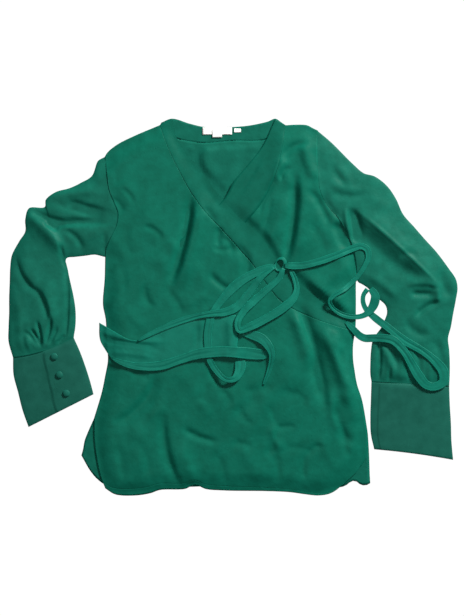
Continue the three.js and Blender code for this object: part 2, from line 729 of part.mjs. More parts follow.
const bowLoop = table(ROUTE,
  [95, 64, 10], [84, 50, 12], [64, 34, 14], [40, 14, 15], [18, -8, 14], [8, -28, 13], [12, -42, 12],
  [30, -36, 13], [58, -22, 14], [88, -4, 14], [108, 14, 12], [115, 30, 10], [113, 46, 10], [107, 60, 10]);

const bowTail = table(ROUTE,
  [12, -43, 9], [32, -50, 13], [50, -56, 17], [63, -68, 15], [70, -84, 10], [69, -100, 8], [63, -120, 7],
  [55, -140, 6]);

const rightTieOuter = table(ROUTE,
  [204, -27, 8], [216, -39, 10], [228, -51, 12], [238, -56, 13], [250, -56, 13], [270, -56, 13],
  [288, -60, 14], [306, -78, 15], [322, -104, 16], [334, -124, 16], [348, -140, 15], [364, -143, 14],
  [378, -134, 15], [378, -116, 16], [364, -98, 15], [342, -80, 14], [308, -60, 14], [280, -38, 13],
  [256, -19, 11], [241, -5, 8], [235, 9, 8], [236, 22, 8], [243, 32, 9]);

const rightTieInner = table(ROUTE,
  [248, 33, 9], [256, 21, 13], [255, 7, 15], [247, -7, 13], [236, -15, 9], [220, -18, 8], [198, -14, 8],
  [180, -2, 8], [174, 11, 8], [181, 20, 8], [202, 33, 8], [224, 54, 8], [238, 75, 8], [244, 90, 9],
  [241, 104, 10], [230, 109, 11], [216, 105, 12], [193, 95, 12], [157, 82, 12], [124, 74, 12], [98, 70, 10]);

// The left tie comes out of a slit in the side seam as a wide flat sash and bunches to the right
function buildSash() {
  const upperEdge = edge(run([-240, -28], [-228, -35], [-212, -44], [-174, -60], [-125, -38], [-62, -16],
    [6, -14]));
  const lowerEdge = edge(run([-221, -88], [-214, -96], [-206, -99], [-188, -108], [-166, -112], [-125, -104],
    [-62, -92], [6, -90]));
  const leftSide = edge(run([-240, -28], [-238, -60], [-221, -88]));
  const rightSide = edge(run([6, -14], [10, -50], [6, -90]));
  const plan = between(upperEdge, lowerEdge, leftSide, rightSide);
  const drape = (point) => supportAt(point.x, point.y, 10) + TIE_CLEAR + WALL;
  addPiece('left_tie_sash', sheet(plan, drape, 15, 5));
}

const KNOT = { x: 85, y: 76, halfLength: 12, halfWidth: 9, halfHeight: 4, turn: 1.1 };

function buildKnot() {
  const ball = new THREE.SphereGeometry(1, 12, 8);
  const knot = addPiece('knot', ball);
  knot.scale.set(KNOT.halfLength, KNOT.halfWidth, KNOT.halfHeight);
  knot.rotation.z = KNOT.turn;
  knot.position.set(KNOT.x, KNOT.y, supportAt(KNOT.x, KNOT.y, KNOT.halfLength) + GAP + KNOT.halfHeight);
  knot.updateMatrixWorld(true);
}

buildPanels();
buildNeckBands();
buildLabels();
buildSleeves();
buildCuffs();
top.updateMatrixWorld(true);
buildButtons();
buildSash();
buildKnot();
tie('drop_loop', dropLoop);
tie('left_tie_lower', lowerBand);
tie('left_tie_upper', upperBand);
tie('bow_tail', bowTail);
tie('bow_loop', bowLoop);
tie('right_tie_outer', rightTieOuter);
tie('right_tie_inner', rightTieInner);

export default top;
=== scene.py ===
"""A wrap top laid flat on its back: panels, neck bands, sleeves, cuffs, buttons, labels and knotted ties.

The tables hold millimetres: +X to the wearer's left sleeve, +Y to the neck, +Z up off the floor.
Meshes are in metres. Right and left are the wearer's. The right front is the over one, because it laps
over the left one, which is the under one.
"""

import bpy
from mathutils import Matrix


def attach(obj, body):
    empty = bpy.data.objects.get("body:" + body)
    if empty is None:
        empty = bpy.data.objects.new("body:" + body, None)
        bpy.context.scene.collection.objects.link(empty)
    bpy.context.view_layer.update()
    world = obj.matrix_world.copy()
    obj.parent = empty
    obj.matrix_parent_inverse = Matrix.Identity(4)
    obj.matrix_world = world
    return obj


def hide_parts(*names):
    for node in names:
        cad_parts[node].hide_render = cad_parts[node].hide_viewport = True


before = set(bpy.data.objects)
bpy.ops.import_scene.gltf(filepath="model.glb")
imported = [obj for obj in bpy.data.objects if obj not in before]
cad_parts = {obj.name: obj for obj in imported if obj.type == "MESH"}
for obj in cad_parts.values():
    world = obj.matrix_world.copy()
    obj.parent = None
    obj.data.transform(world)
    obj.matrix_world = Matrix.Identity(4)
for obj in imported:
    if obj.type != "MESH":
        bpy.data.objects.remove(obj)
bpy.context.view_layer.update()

import logging
import math
from collections.abc import Callable
from dataclasses import dataclass, field
from enum import Enum

import bmesh
import bpy
import numpy as np
from mathutils import Vector
from mathutils.bvhtree import BVHTree

log = logging.getLogger("wrap_top")

MM = 0.001
TAU = 2 * math.pi
# Vertices nearer than this, in metres, are made one.
WELD = 1e-6
# Share of an edge, to each side of a point, over which its direction is read.
DIRECTION_REACH = 0.004

Array = np.ndarray
# An edge gives points at shares along it, a place gives them at shares across and along, and a height gives
# the level at x and y.
Edge = Callable[[Array], Array]
Place = Callable[[Array, Array], Array]
Height = Callable[[Array, Array], Array]
Rows = tuple[tuple[float, ...], ...]


# Curves and outlines


class Run:
    """One smooth run of an outline through its points, in millimetres."""

    per_span = 24
    shortest = 1e-6
    beside_points = 40

    def __init__(self, *points: tuple[float, ...]) -> None:
        """Fits the curve.

        Args:
            points: the places it goes through.
        """
        self.points = np.array(points, float)
        before = 2 * self.points[0] - self.points[1]
        after = 2 * self.points[-1] - self.points[-2]
        around = np.vstack([before, self.points, after])
        t = (np.arange(self.per_span) / self.per_span)[:, None]
        spans = [self._span(*around[i : i + 4], t) for i in range(len(points) - 1)]
        self.line = np.vstack([*spans, self.points[-1:]])
        steps = np.linalg.norm(np.diff(self.line, axis=0), axis=1)
        self.travelled = np.concatenate([[0.0], np.cumsum(steps)])
        self.length = float(self.travelled[-1])
        self.share = np.linspace(0, 1, len(self.line))

    @staticmethod
    def _span(before: Array, start: Array, end: Array, after: Array, t: Array) -> Array:
        """Fits the centripetal curve between two neighbouring points.

        Args:
            before: the point before them.
            start: the first of the two.
            end: the second of the two.
            after: the point after them.
            t: shares of the way.
        Returns:
            The points at those shares.
        """
        pairs = ((before, start), (start, end), (end, after))
        d0, d1, d2 = (max(float(np.linalg.norm(b - a)), Run.shortest) ** 0.5 for a, b in pairs)
        leave = ((start - before) / d0 - (end - before) / (d0 + d1) + (end - start) / d1) * d1
        arrive = ((end - start) / d1 - (after - start) / (d1 + d2) + (after - end) / d2) * d1
        square = -3 * start + 3 * end - 2 * leave - arrive
        cube = 2 * start - 2 * end + leave + arrive
        return start + leave * t + square * t**2 + cube * t**3

    def even(self, t: Array) -> Array:
        """Points at even shares of the length."""
        at = np.clip(t, 0, 1) * self.length
        return np.stack([np.interp(at, self.travelled, column) for column in self.line.T], axis=-1)

    def steady(self, t: Array) -> Array:
        """Points at even shares of the table's rows."""
        at = np.clip(t, 0, 1)
        return np.stack([np.interp(at, self.share, column) for column in self.line.T], axis=-1)

    def rows_at(self, t: Array) -> Array:
        """Share of the rows passed at a share of the length."""
        return np.interp(np.clip(t, 0, 1) * self.length, self.travelled, self.share)

    def turned(self) -> "Run":
        """The same run, walked the other way."""
        return Run(*self.points[::-1])

    def beside(self, distance: float) -> "Run":
        """A run at a distance to its left, in millimetres."""
        return Run(*moved(self.even, distance)(np.linspace(0, 1, self.beside_points)))


def chain(*parts: tuple[Run, float]) -> Edge:
    """Joins several runs into one edge.

    Args:
        parts: each run with its number of cells.
    Returns:
        The edge, from the first run to the last.
    """
    ends = np.cumsum([0.0] + [cells for _, cells in parts])

    def walk(t: Array) -> Array:
        """Walks the runs.

        Args:
            t: shares of all the cells.
        Returns:
            The points there.
        """
        at = np.clip(t, 0, 1) * ends[-1]
        out = np.zeros((len(at), 2))
        for i, (run, cells) in enumerate(parts):
            here = (at >= ends[i]) & ((at < ends[i + 1]) | (i == len(parts) - 1))
            out[here] = run.even((at[here] - ends[i]) / cells)
        return out

    return walk


def back_again(edge: Edge) -> Edge:
    """The same edge, walked the other way."""
    return lambda t: edge(1 - t)


def left_of(along: Array) -> Array:
    """Unit steps to the left of the given directions."""
    unit = along / np.linalg.norm(along, axis=1)[:, None]
    return np.column_stack([-unit[:, 1], unit[:, 0]])


def moved(edge: Edge, distance: float) -> Edge:
    """Moves an edge to its left as it is walked.

    Args:
        edge: the edge.
        distance: how far it moves, in millimetres.
    Returns:
        The moved edge.
    """

    def walk(t: Array) -> Array:
        """Walks beside the edge."""
        along = edge(np.clip(t + DIRECTION_REACH, 0, 1)) - edge(np.clip(t - DIRECTION_REACH, 0, 1))
        return edge(t) + distance * left_of(along)

    return walk


def between(top: Edge, bottom: Edge, left: Edge, right: Edge) -> Place:
    """Fills the space between four edges that meet at their ends.

    Args:
        top: the first edge across.
        bottom: the last edge across.
        left: the first edge down.
        right: the last edge down.
    Returns:
        The plan, with u across and v down.
    """

    def place(u: Array, v: Array) -> Array:
        """Blends the edges.

        Args:
            u: shares across.
            v: shares down.
        Returns:
            The points in plan.
        """
        zero, one = np.zeros(1), np.ones(1)
        a, b = u[:, None], v[:, None]
        flat = top(u) * (1 - b) + bottom(u) * b + left(v) * (1 - a) + right(v) * a
        flat -= top(zero) * (1 - a) * (1 - b) + top(one) * a * (1 - b)
        return flat - bottom(zero) * (1 - a) * b - bottom(one) * a * b

    return place


def strip(near: Edge, far: Edge) -> Place:
    """A strip between two edges that are walked the same way."""
    return lambda u, v: near(v) * (1 - u[:, None]) + far(v) * u[:, None]


def smoothstep(x: Array, low: float, high: float) -> Array:
    """Goes smoothly from 0 at low to 1 at high."""
    t = np.clip((x - low) / (high - low), 0, 1)
    return t * t * (3 - 2 * t)


def above_floor(height: Array, softness: float = 0.5) -> Array:
    """A height that never sinks below zero, with a soft bend where it would."""
    return (height + np.sqrt(height * height + softness * softness)) / 2


def arched(share: Array, power: float) -> Array:
    """Rises from 0 at one side to 1 in the middle and falls again, the flatter the lower the power."""
    return np.sin(np.pi * np.clip(share, 0, 1)) ** power


def hill(x: Array, middle: float, reach: float) -> Array:
    """A hill of height 1 at its middle, a third as high at its reach."""
    return np.exp(-(((x - middle) / reach) ** 2))


def swings(rows: Rows, x: Array) -> Array:
    """Sum of slow swings, each with its depth, its pace and where it starts."""
    return sum(depth * np.sin(x / pace + start) for depth, pace, start in rows)


def level_at(height: float) -> Height:
    """The same height everywhere."""
    return lambda x, y: np.full(len(x), height)


def raised(plan: Place, height: Height) -> Place:
    """Gives a plan its height.

    Args:
        plan: places in x and y.
        height: the level at x and y.
    Returns:
        The places in x, y and z.
    """

    def place(u: Array, v: Array) -> Array:
        """Adds its level to each point."""
        flat = plan(u, v)
        return np.column_stack([flat, height(*flat.T)])

    return place


def around_tube(u: Array, upper_share: float) -> tuple[Array, Array]:
    """Follows a flat tube round, over its upper ply first and back along the lower one.

    Args:
        u: shares round the tube.
        upper_share: the upper ply's share of the cells.
    Returns:
        Whether each point is on the upper ply, and its share across.
    """
    upper = u <= upper_share
    turn = np.where(upper, u / upper_share, (1 - u) / (1 - upper_share))
    return upper, (1 - np.cos(np.pi * turn)) / 2


class Inset:
    """Distance inside a closed outline, negative outside, read from a fine raster."""

    pitch = 4.0
    low = (-420.0, -360.0)
    size = (211, 181)
    side_points = 36
    # A point is read at least this many cells before the raster's end.
    rim = 1.001

    def __init__(self, *sides: Edge) -> None:
        """Walks the outline and measures the raster.

        Args:
            sides: its sides, head to tail.
        """
        t = np.arange(self.side_points) / self.side_points
        ring = np.vstack([side(t) for side in sides])
        xs = self.low[0] + self.pitch * np.arange(self.size[0])
        ys = self.low[1] + self.pitch * np.arange(self.size[1])
        x, y = (part.ravel() for part in np.meshgrid(xs, ys, indexing="ij"))
        nearest = np.full(len(x), np.inf)
        inside = np.zeros(len(x), bool)
        for a, b in zip(ring, np.roll(ring, -1, axis=0)):
            d = b - a
            if not d.any():
                continue
            share = np.clip(((x - a[0]) * d[0] + (y - a[1]) * d[1]) / (d @ d), 0, 1)
            nearest = np.minimum(nearest, np.hypot(x - a[0] - share * d[0], y - a[1] - share * d[1]))
            if d[1]:
                spans = (a[1] > y) != (b[1] > y)
                inside ^= spans & (x < a[0] + d[0] * (y - a[1]) / d[1])
        self.field = np.where(inside, nearest, -nearest).reshape(self.size)

    def at(self, x: Array, y: Array) -> Array:
        """Reads the distance.

        Args:
            x: the points' x.
            y: the points' y.
        Returns:
            How far each point is inside.
        """
        i = np.clip((x - self.low[0]) / self.pitch, 0, self.size[0] - self.rim)
        j = np.clip((y - self.low[1]) / self.pitch, 0, self.size[1] - self.rim)
        i0, j0 = i.astype(int), j.astype(int)
        a, b = i - i0, j - j0
        near = self.field[i0, j0] * (1 - b) + self.field[i0, j0 + 1] * b
        far = self.field[i0 + 1, j0] * (1 - b) + self.field[i0 + 1, j0 + 1] * b
        return near * (1 - a) + far * a


# Folds


@dataclass(frozen=True)
class Fold:
    """A ridge, or a trough below zero, along a bowed line that dies away at both ends.

    A table of folds has a row for each: the x and y where it starts, the x and y where it ends, its bow to
    the left, its height, and its width on the left and on the right.
    """

    from_x: float
    from_y: float
    to_x: float
    to_y: float
    bow: float
    height: float
    left: float
    right: float

    fade_in = (-0.12, 0.25)
    fade_out = (0.75, 1.12)

    def lift(self, x: Array, y: Array) -> Array:
        """Measures the fold.

        Args:
            x: the points' x.
            y: the points' y.
        Returns:
            The height that it adds at each point.
        """
        dx, dy = self.to_x - self.from_x, self.to_y - self.from_y
        length = math.hypot(dx, dy)
        share = ((x - self.from_x) * dx + (y - self.from_y) * dy) / length**2
        on_line = np.clip(share, 0, 1)
        bowed = self.bow * 4 * on_line * (1 - on_line)
        off = ((y - self.from_y) * dx - (x - self.from_x) * dy) / length - bowed
        width = np.where(off > 0, self.left, self.right)
        ends = smoothstep(share, *self.fade_in) * (1 - smoothstep(share, *self.fade_out))
        return self.height * ends * np.exp(-((off / width) ** 2))


Folds = tuple[Fold, ...]


def folds(*rows: tuple[float, ...]) -> Folds:
    """Reads a table of folds, a row for each."""
    return tuple(Fold(*row) for row in rows)


def relief(table: Folds, x: Array, y: Array) -> Array:
    """Sum of a table's folds."""
    return sum((fold.lift(x, y) for fold in table), np.zeros(len(x)))


# Finishes


@dataclass(frozen=True)
class ClothFinish:
    """Satin-backed crepe: a soft sheen over a fine crinkled weave, sewn with one row of stitches."""

    name: str
    slot: str
    deep: tuple[float, float, float]
    light: tuple[float, float, float]
    roughness: float = 0.5
    sheen: float = 0.12
    crinkle: float = 0.25
    stitch_at: float = 0.0

    sheen_roughness = 0.4
    sheen_tint = (0.04, 0.8, 0.58, 1)
    specular = 0.05
    tone_grain = (55, 6)
    tone_span = (0.3, 0.7)
    stitch_width = 0.0011
    stitch_pitch = 0.0026
    stitch_pull = 0.3
    stitch_strength = 0.4
    stitch_depth = 0.0007

    def _grains(self) -> Rows:
        """Lists the noises of the weave.

        Returns:
            Scale and detail of each, with its bump's strength and its depth in metres.
        """
        return (
            (34, 4, self.crinkle * 1.6, 0.0028),
            (130, 4, self.crinkle * 1.4, 0.0007),
            (900, 2, 0.25, 0.00012),
        )

    def material(self) -> bpy.types.Material:
        """Builds the node material.

        Returns:
            The new material.
        """
        material = bpy.data.materials.new(self.name)
        material.use_nodes = True
        nodes, links = material.node_tree.nodes, material.node_tree.links
        shader = nodes["Principled BSDF"]
        for label, value in (
            ("Roughness", self.roughness),
            ("Sheen Weight", self.sheen),
            ("Sheen Roughness", self.sheen_roughness),
            ("Sheen Tint", self.sheen_tint),
            ("Specular IOR Level", self.specular),
        ):
            shader.inputs[label].default_value = value
        coordinates = nodes.new("ShaderNodeTexCoord").outputs["Object"]

        def noise(scale: float, detail: float) -> bpy.types.NodeSocket:
            """Adds one noise on the cloth.

            Args:
                scale: its grains per metre.
                detail: how many finer noises it adds to itself.
            Returns:
                Its output.
            """
            node = nodes.new("ShaderNodeTexNoise")
            node.inputs["Scale"].default_value = scale
            node.inputs["Detail"].default_value = detail
            links.new(coordinates, node.inputs["Vector"])
            return node.outputs["Fac"]

        tone = nodes.new("ShaderNodeValToRGB")
        for stop, position, color in zip(tone.color_ramp.elements, self.tone_span, (self.deep, self.light)):
            stop.position = position
            stop.color = (*color, 1)
        links.new(noise(*self.tone_grain), tone.inputs["Fac"])
        links.new(tone.outputs["Color"], shader.inputs["Base Color"])

        normal = None
        for scale, detail, strength, depth in self._grains():
            normal = self._bump(nodes, links, noise(scale, detail), strength, depth, normal)
        if self.stitch_at:
            normal = self._stitches(nodes, links, normal)
        links.new(normal, shader.inputs["Normal"])
        return material

    @staticmethod
    def _bump(
        nodes: bpy.types.Nodes,
        links: bpy.types.NodeLinks,
        height: bpy.types.NodeSocket,
        strength: float,
        depth: float,
        normal: bpy.types.NodeSocket | None,
    ) -> bpy.types.NodeSocket:
        """Adds one bump over the last.

        Args:
            nodes: the material's nodes.
            links: the material's links.
            height: its height, from 0 to 1.
            strength: how strongly it shows.
            depth: how deep it is, in metres.
            normal: the last bump's normal, if there is one.
        Returns:
            The new normal.
        """
        bump = nodes.new("ShaderNodeBump")
        bump.inputs["Strength"].default_value = strength
        bump.inputs["Distance"].default_value = depth
        links.new(height, bump.inputs["Height"])
        if normal:
            links.new(normal, bump.inputs["Normal"])
        return bump.outputs["Normal"]

    def _stitches(
        self, nodes: bpy.types.Nodes, links: bpy.types.NodeLinks, normal: bpy.types.NodeSocket
    ) -> bpy.types.NodeSocket:
        """Sinks a row of stitches at a set distance from the sewn edge.

        Args:
            nodes: the material's nodes.
            links: the material's links.
            normal: the weave's normal.
        Returns:
            The new normal.
        """
        uv = nodes.new("ShaderNodeUVMap")
        uv.uv_map = "seam"
        split = nodes.new("ShaderNodeSeparateXYZ")
        links.new(uv.outputs["UV"], split.inputs["Vector"])

        def sum_of(operation: str, *terms: bpy.types.NodeSocket | float) -> bpy.types.NodeSocket:
            """Adds one node of arithmetic.

            Args:
                operation: what it does.
                terms: sockets or numbers to do it with.
            Returns:
                Its output.
            """
            node = nodes.new("ShaderNodeMath")
            node.operation = operation
            for socket, term in zip(node.inputs, terms):
                if isinstance(term, bpy.types.NodeSocket):
                    links.new(term, socket)
                else:
                    socket.default_value = term
            return node.outputs[0]

        away = sum_of("ABSOLUTE", sum_of("SUBTRACT", split.outputs["X"], self.stitch_at))
        depth = sum_of("MINIMUM", sum_of("DIVIDE", away, self.stitch_width), 1.0)
        pull = sum_of("SINE", sum_of("MULTIPLY", split.outputs["Y"], TAU / self.stitch_pitch))
        near = sum_of("SUBTRACT", sum_of("MULTIPLY", depth, -1.0), -1.0)
        thread = sum_of("MULTIPLY", near, sum_of("MULTIPLY", pull, self.stitch_pull))
        height = sum_of("ADD", depth, thread)
        return self._bump(nodes, links, height, self.stitch_strength, self.stitch_depth, normal)


class Finish(Enum):
    """The finishes of the garment; the sleeve, band, cuff and tie colours also hold painted light and shade.
    """

    OUTSIDE = ClothFinish(
        "emerald_crepe", "crepe", (0.0016, 0.084, 0.053), (0.0024, 0.107, 0.069), stitch_at=0.009
    )
    INSIDE = ClothFinish(
        "emerald_crepe_inside", "crepe_inside", (0.0022, 0.08, 0.052), (0.0034, 0.101, 0.067),
        roughness=0.62, sheen=0.08,
    )
    # Painted pale haze of light: the sleeves' crepe gets a greyer base colour than the same crepe on the
    # body.
    SLEEVE = ClothFinish("emerald_crepe_sleeve_painted_haze", "crepe", (0.003, 0.081, 0.053), (0.0045, 0.107, 0.071))
    # Painted shade: the bands' crepe gets a darker base colour than the same crepe on the panels.
    BAND = ClothFinish(
        "pressed_band_painted_shade", "crepe_band", (0.0014, 0.074, 0.047), (0.0022, 0.092, 0.06), sheen=0.04, crinkle=0.2
    )
    # Painted shade under a painted pale haze of light: the cuffs' crepe gets a darker and greyer base colour
    # than the same crepe on the body.
    CUFF = ClothFinish(
        "pressed_cuff_painted_shade_and_haze", "crepe_cuff", (0.0055, 0.07, 0.049), (0.008, 0.088, 0.062),
        roughness=0.6, crinkle=0.12, stitch_at=0.0022,
    )
    # Painted highlight: the ties' crepe gets a lighter base colour than the same crepe on the body, standing
    # in for the light that the raised ribbons catch.
    TIE = ClothFinish(
        "bunched_crepe_painted_highlight", "crepe_tie", (0.003, 0.108, 0.072), (0.005, 0.134, 0.091), roughness=0.46, sheen=0.3
    )
    BUTTON = ClothFinish("covered_button", "covered_button", (0.0055, 0.078, 0.054), (0.008, 0.098, 0.07))
    LABEL = ClothFinish(
        "woven_label", "label", (0.74, 0.73, 0.69), (0.83, 0.82, 0.78), roughness=0.6, crinkle=0.1
    )


# Making and laying pieces


@dataclass(frozen=True)
class Cut:
    """The flat cloth that a piece was cut from, in metres."""

    width: float
    length: float
    area: float
    held: str = "laid"
    rests_on: tuple[str, ...] = ()


@dataclass
class Worktable:
    """Makes pieces from grids of cloth and keeps what lies on the table so far.

    What lies at a point is looked for from a height in metres that is above everything.
    """

    laid: list[BVHTree] = field(default_factory=list)
    materials: dict[Finish, bpy.types.Material] = field(default_factory=dict)
    look_down_from: float = 0.5

    @staticmethod
    def grid(cells: tuple[int, int], place: Place, seam: Place | None, closed: bool) -> bmesh.types.BMesh:
        """Makes a grid of cloth and moves it to its place.

        Args:
            cells: cells across and along.
            place: gives each point's place in millimetres, x, y and z.
            seam: gives each point's distance from the sewn edge and along it.
            closed: whether the first and last columns are sewn together to a tube.
        Returns:
            The mesh, facing up or outwards.
        """
        bm = bmesh.new()
        bmesh.ops.create_grid(bm, x_segments=cells[0], y_segments=cells[1], size=0.5)
        flat = np.array([vert.co[:2] for vert in bm.verts])
        u, v = flat[:, 0] + 0.5, 0.5 - flat[:, 1]
        if seam:
            layer = bm.loops.layers.uv.new("seam")
            marks = seam(u, v) * MM
            for face in bm.faces:
                for loop in face.loops:
                    loop[layer].uv = marks[loop.vert.index]
        for vert, point in zip(bm.verts, place(u, v) * MM):
            vert.co = point
        if closed:
            bmesh.ops.remove_doubles(bm, verts=bm.verts, dist=WELD)
            inside_out = bm.calc_volume(signed=True) < 0
        else:
            bm.normal_update()
            inside_out = sum(face.normal.z * face.calc_area() for face in bm.faces) < 0
        if inside_out:
            bmesh.ops.reverse_faces(bm, faces=bm.faces)
        return bm

    def lay(
        self, node: str, bm: bmesh.types.BMesh, finish: Finish, wall: float = 0.0, cut: Cut | None = None
    ) -> None:
        """Lays a mesh on the table as the piece for a node.

        Args:
            node: the frame's node that the piece stands for.
            bm: its mesh, in metres.
            finish: its finish.
            wall: thickness of the cloth in millimetres, or 0 for a closed form.
            cut: its flat size, for cloth; not used.
        """
        bm.normal_update()
        area = sum(face.calc_area() for face in bm.faces)
        self.laid.append(BVHTree.FromBMesh(bm))
        mesh = bpy.data.meshes.new(f"{node}_cloth")
        bm.to_mesh(mesh)
        bm.free()
        mesh.polygons.foreach_set("use_smooth", [True] * len(mesh.polygons))
        piece = bpy.data.objects.new(f"{node}_cloth", mesh)
        bpy.context.scene.collection.objects.link(piece)
        if finish not in self.materials:
            self.materials[finish] = finish.value.material()
        mesh.materials.append(self.materials[finish])
        if wall:
            thickness = piece.modifiers.new("wall", "SOLIDIFY")
            thickness.thickness = wall * MM
            thickness.offset = -1
        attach(piece, "root")
        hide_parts(node)
        log.info("%s: %d faces, %.5f square metres", node, len(mesh.polygons), area)

    def support(self, x: float, y: float) -> float:
        """Finds what lies at a point.

        Args:
            x: the point's x.
            y: the point's y.
        Returns:
            Height in millimetres of the highest piece there, or 0 on the bare table.
        """
        start, down = Vector((x * MM, y * MM, self.look_down_from)), Vector((0, 0, -1))
        hits = (tree.ray_cast(start, down)[0] for tree in self.laid)
        return max((hit.z / MM for hit in hits if hit is not None), default=0.0)


def soften(heights: Array, passes: int) -> Array:
    """Smooths a row or a grid of heights, so that none sinks.

    Args:
        heights: one or two dimensions of heights.
        passes: how often each is drawn to its neighbours.
    Returns:
        The smoothed heights.
    """
    for _ in range(passes):
        around = heights
        for axis in range(heights.ndim):
            padding = [(1, 1) if i == axis else (0, 0) for i in range(heights.ndim)]
            padded = np.pad(around, padding, mode="edge")
            count = around.shape[axis]
            before = np.take(padded, range(count), axis=axis)
            after = np.take(padded, range(2, count + 2), axis=axis)
            around = (before + 2 * around + after) / 4
        heights = np.maximum(heights, around)
    return heights


# Outline of the garment

RIGHT_SHOULDER = Run((-230, 270), (-224, 279), (-206, 293), (-176, 308), (-143, 322), (-131, 327))
RIGHT_ARMHOLE = Run((-230, 270), (-226, 238), (-222, 211), (-213, 187), (-206, 169), (-208, 148),
    (-219, 124), (-228, 103), (-229, 90))
RIGHT_SIDE_SEAM = Run((-229, 90), (-230, 50), (-233, 5), (-228, -23), (-226, -68), (-224, -95),
    (-229, -124), (-235, -153), (-249, -200))
LEFT_SHOULDER = Run((95, 327), (112, 328), (134, 327), (144, 322), (154, 317))
LEFT_ARMHOLE = Run((154, 317), (152, 285), (154, 245), (159, 207), (174, 180), (190, 162), (205, 142),
    (224, 112))
LEFT_SIDE_SEAM = Run((224, 112), (224, 80), (222, 43), (222, 5), (221, -41), (217, -67), (217, -95),
    (219, -110), (224, -139), (233, -167), (240, -205), (244, -232))
BACK_NECK_SEAM = Run((-131, 326), (-102, 305), (-50, 296), (-4, 300), (57, 302), (88, 322))
BACK_NECK_EDGE = Run((-128, 332), (-109, 339), (-77, 330), (-50, 324), (0, 324), (32, 327), (64, 334),
    (77, 339), (90, 331))
OVER_SEAM = Run((-131, 327), (-116, 286), (-94, 240), (-74, 204), (-52, 174), (-31, 151), (1, 116), (36, 76),
    (60, 43), (86, 11), (140, -18), (214, -43))
OVER_NECK_EDGE = Run((-109, 339), (-101, 306), (-76, 266), (-50, 237), (-34, 212), (-18, 194), (11, 162),
    (30, 145), (48, 127), (62, 108), (75, 87), (90, 68), (122, 42), (167, 4), (221, -38))
UNDER_SEAM_SHOWN = Run((95, 327), (86, 270), (70, 220), (50, 184), (26, 155))
UNDER_SEAM_HIDDEN = Run((26, 155), (-30, 110), (-100, 45), (-168, -18), (-204, -49))
UNDER_NECK_EDGE = Run((77, 339), (69, 320), (60, 300), (49, 282), (22, 249), (1, 224), (-14, 196), (-62, 149),
    (-130, 88), (-190, 30), (-211, 5))
SLIT_EDGE = Run((-211, 5), (-206, -30), (-204, -50))
UNDER_FRONT_EDGE = Run((-204, -50), (-212, -120), (-222, -190), (-226, -250), (-214, -310))
UNDER_HEM = Run((-214, -310), (-120, -314), (20, -316), (120, -318), (190, -306))
LEFT_VENT = Run((244, -232), (243, -262), (228, -290), (190, -306))
OVER_VENT_LEFT = Run((-249, -200), (-249, -232), (-246, -262), (-238, -302), (-229, -326))
OVER_HEM = Run((-229, -326), (-211, -337), (-175, -339), (-148, -335), (-130, -329), (-85, -327),
    (-72, -321), (-62, -321), (-49, -327), (-13, -330), (60, -331), (103, -333), (132, -337), (154, -339),
    (174, -336), (187, -329), (198, -319))
OVER_FREE_EDGE = Run((214, -43), (214, -70), (214, -97), (216, -112), (221, -140), (230, -168), (238, -205),
    (242, -232))
OVER_VENT_RIGHT = Run((242, -232), (239, -262), (226, -292), (212, -307), (198, -319))
BACK_RIGHT_VENT = Run((-249, -200), (-258, -220), (-266, -240), (-269, -256), (-272, -267))
BACK_HEM = Run((-272, -267), (-266, -278), (-256, -295), (-242, -311), (-226, -321), (-150, -325),
    (0, -322), (150, -326), (200, -323), (214, -314), (221, -313), (231, -320), (240, -321), (248, -317))
BACK_LEFT_VENT = Run((244, -232), (246, -268), (247, -300), (248, -317))


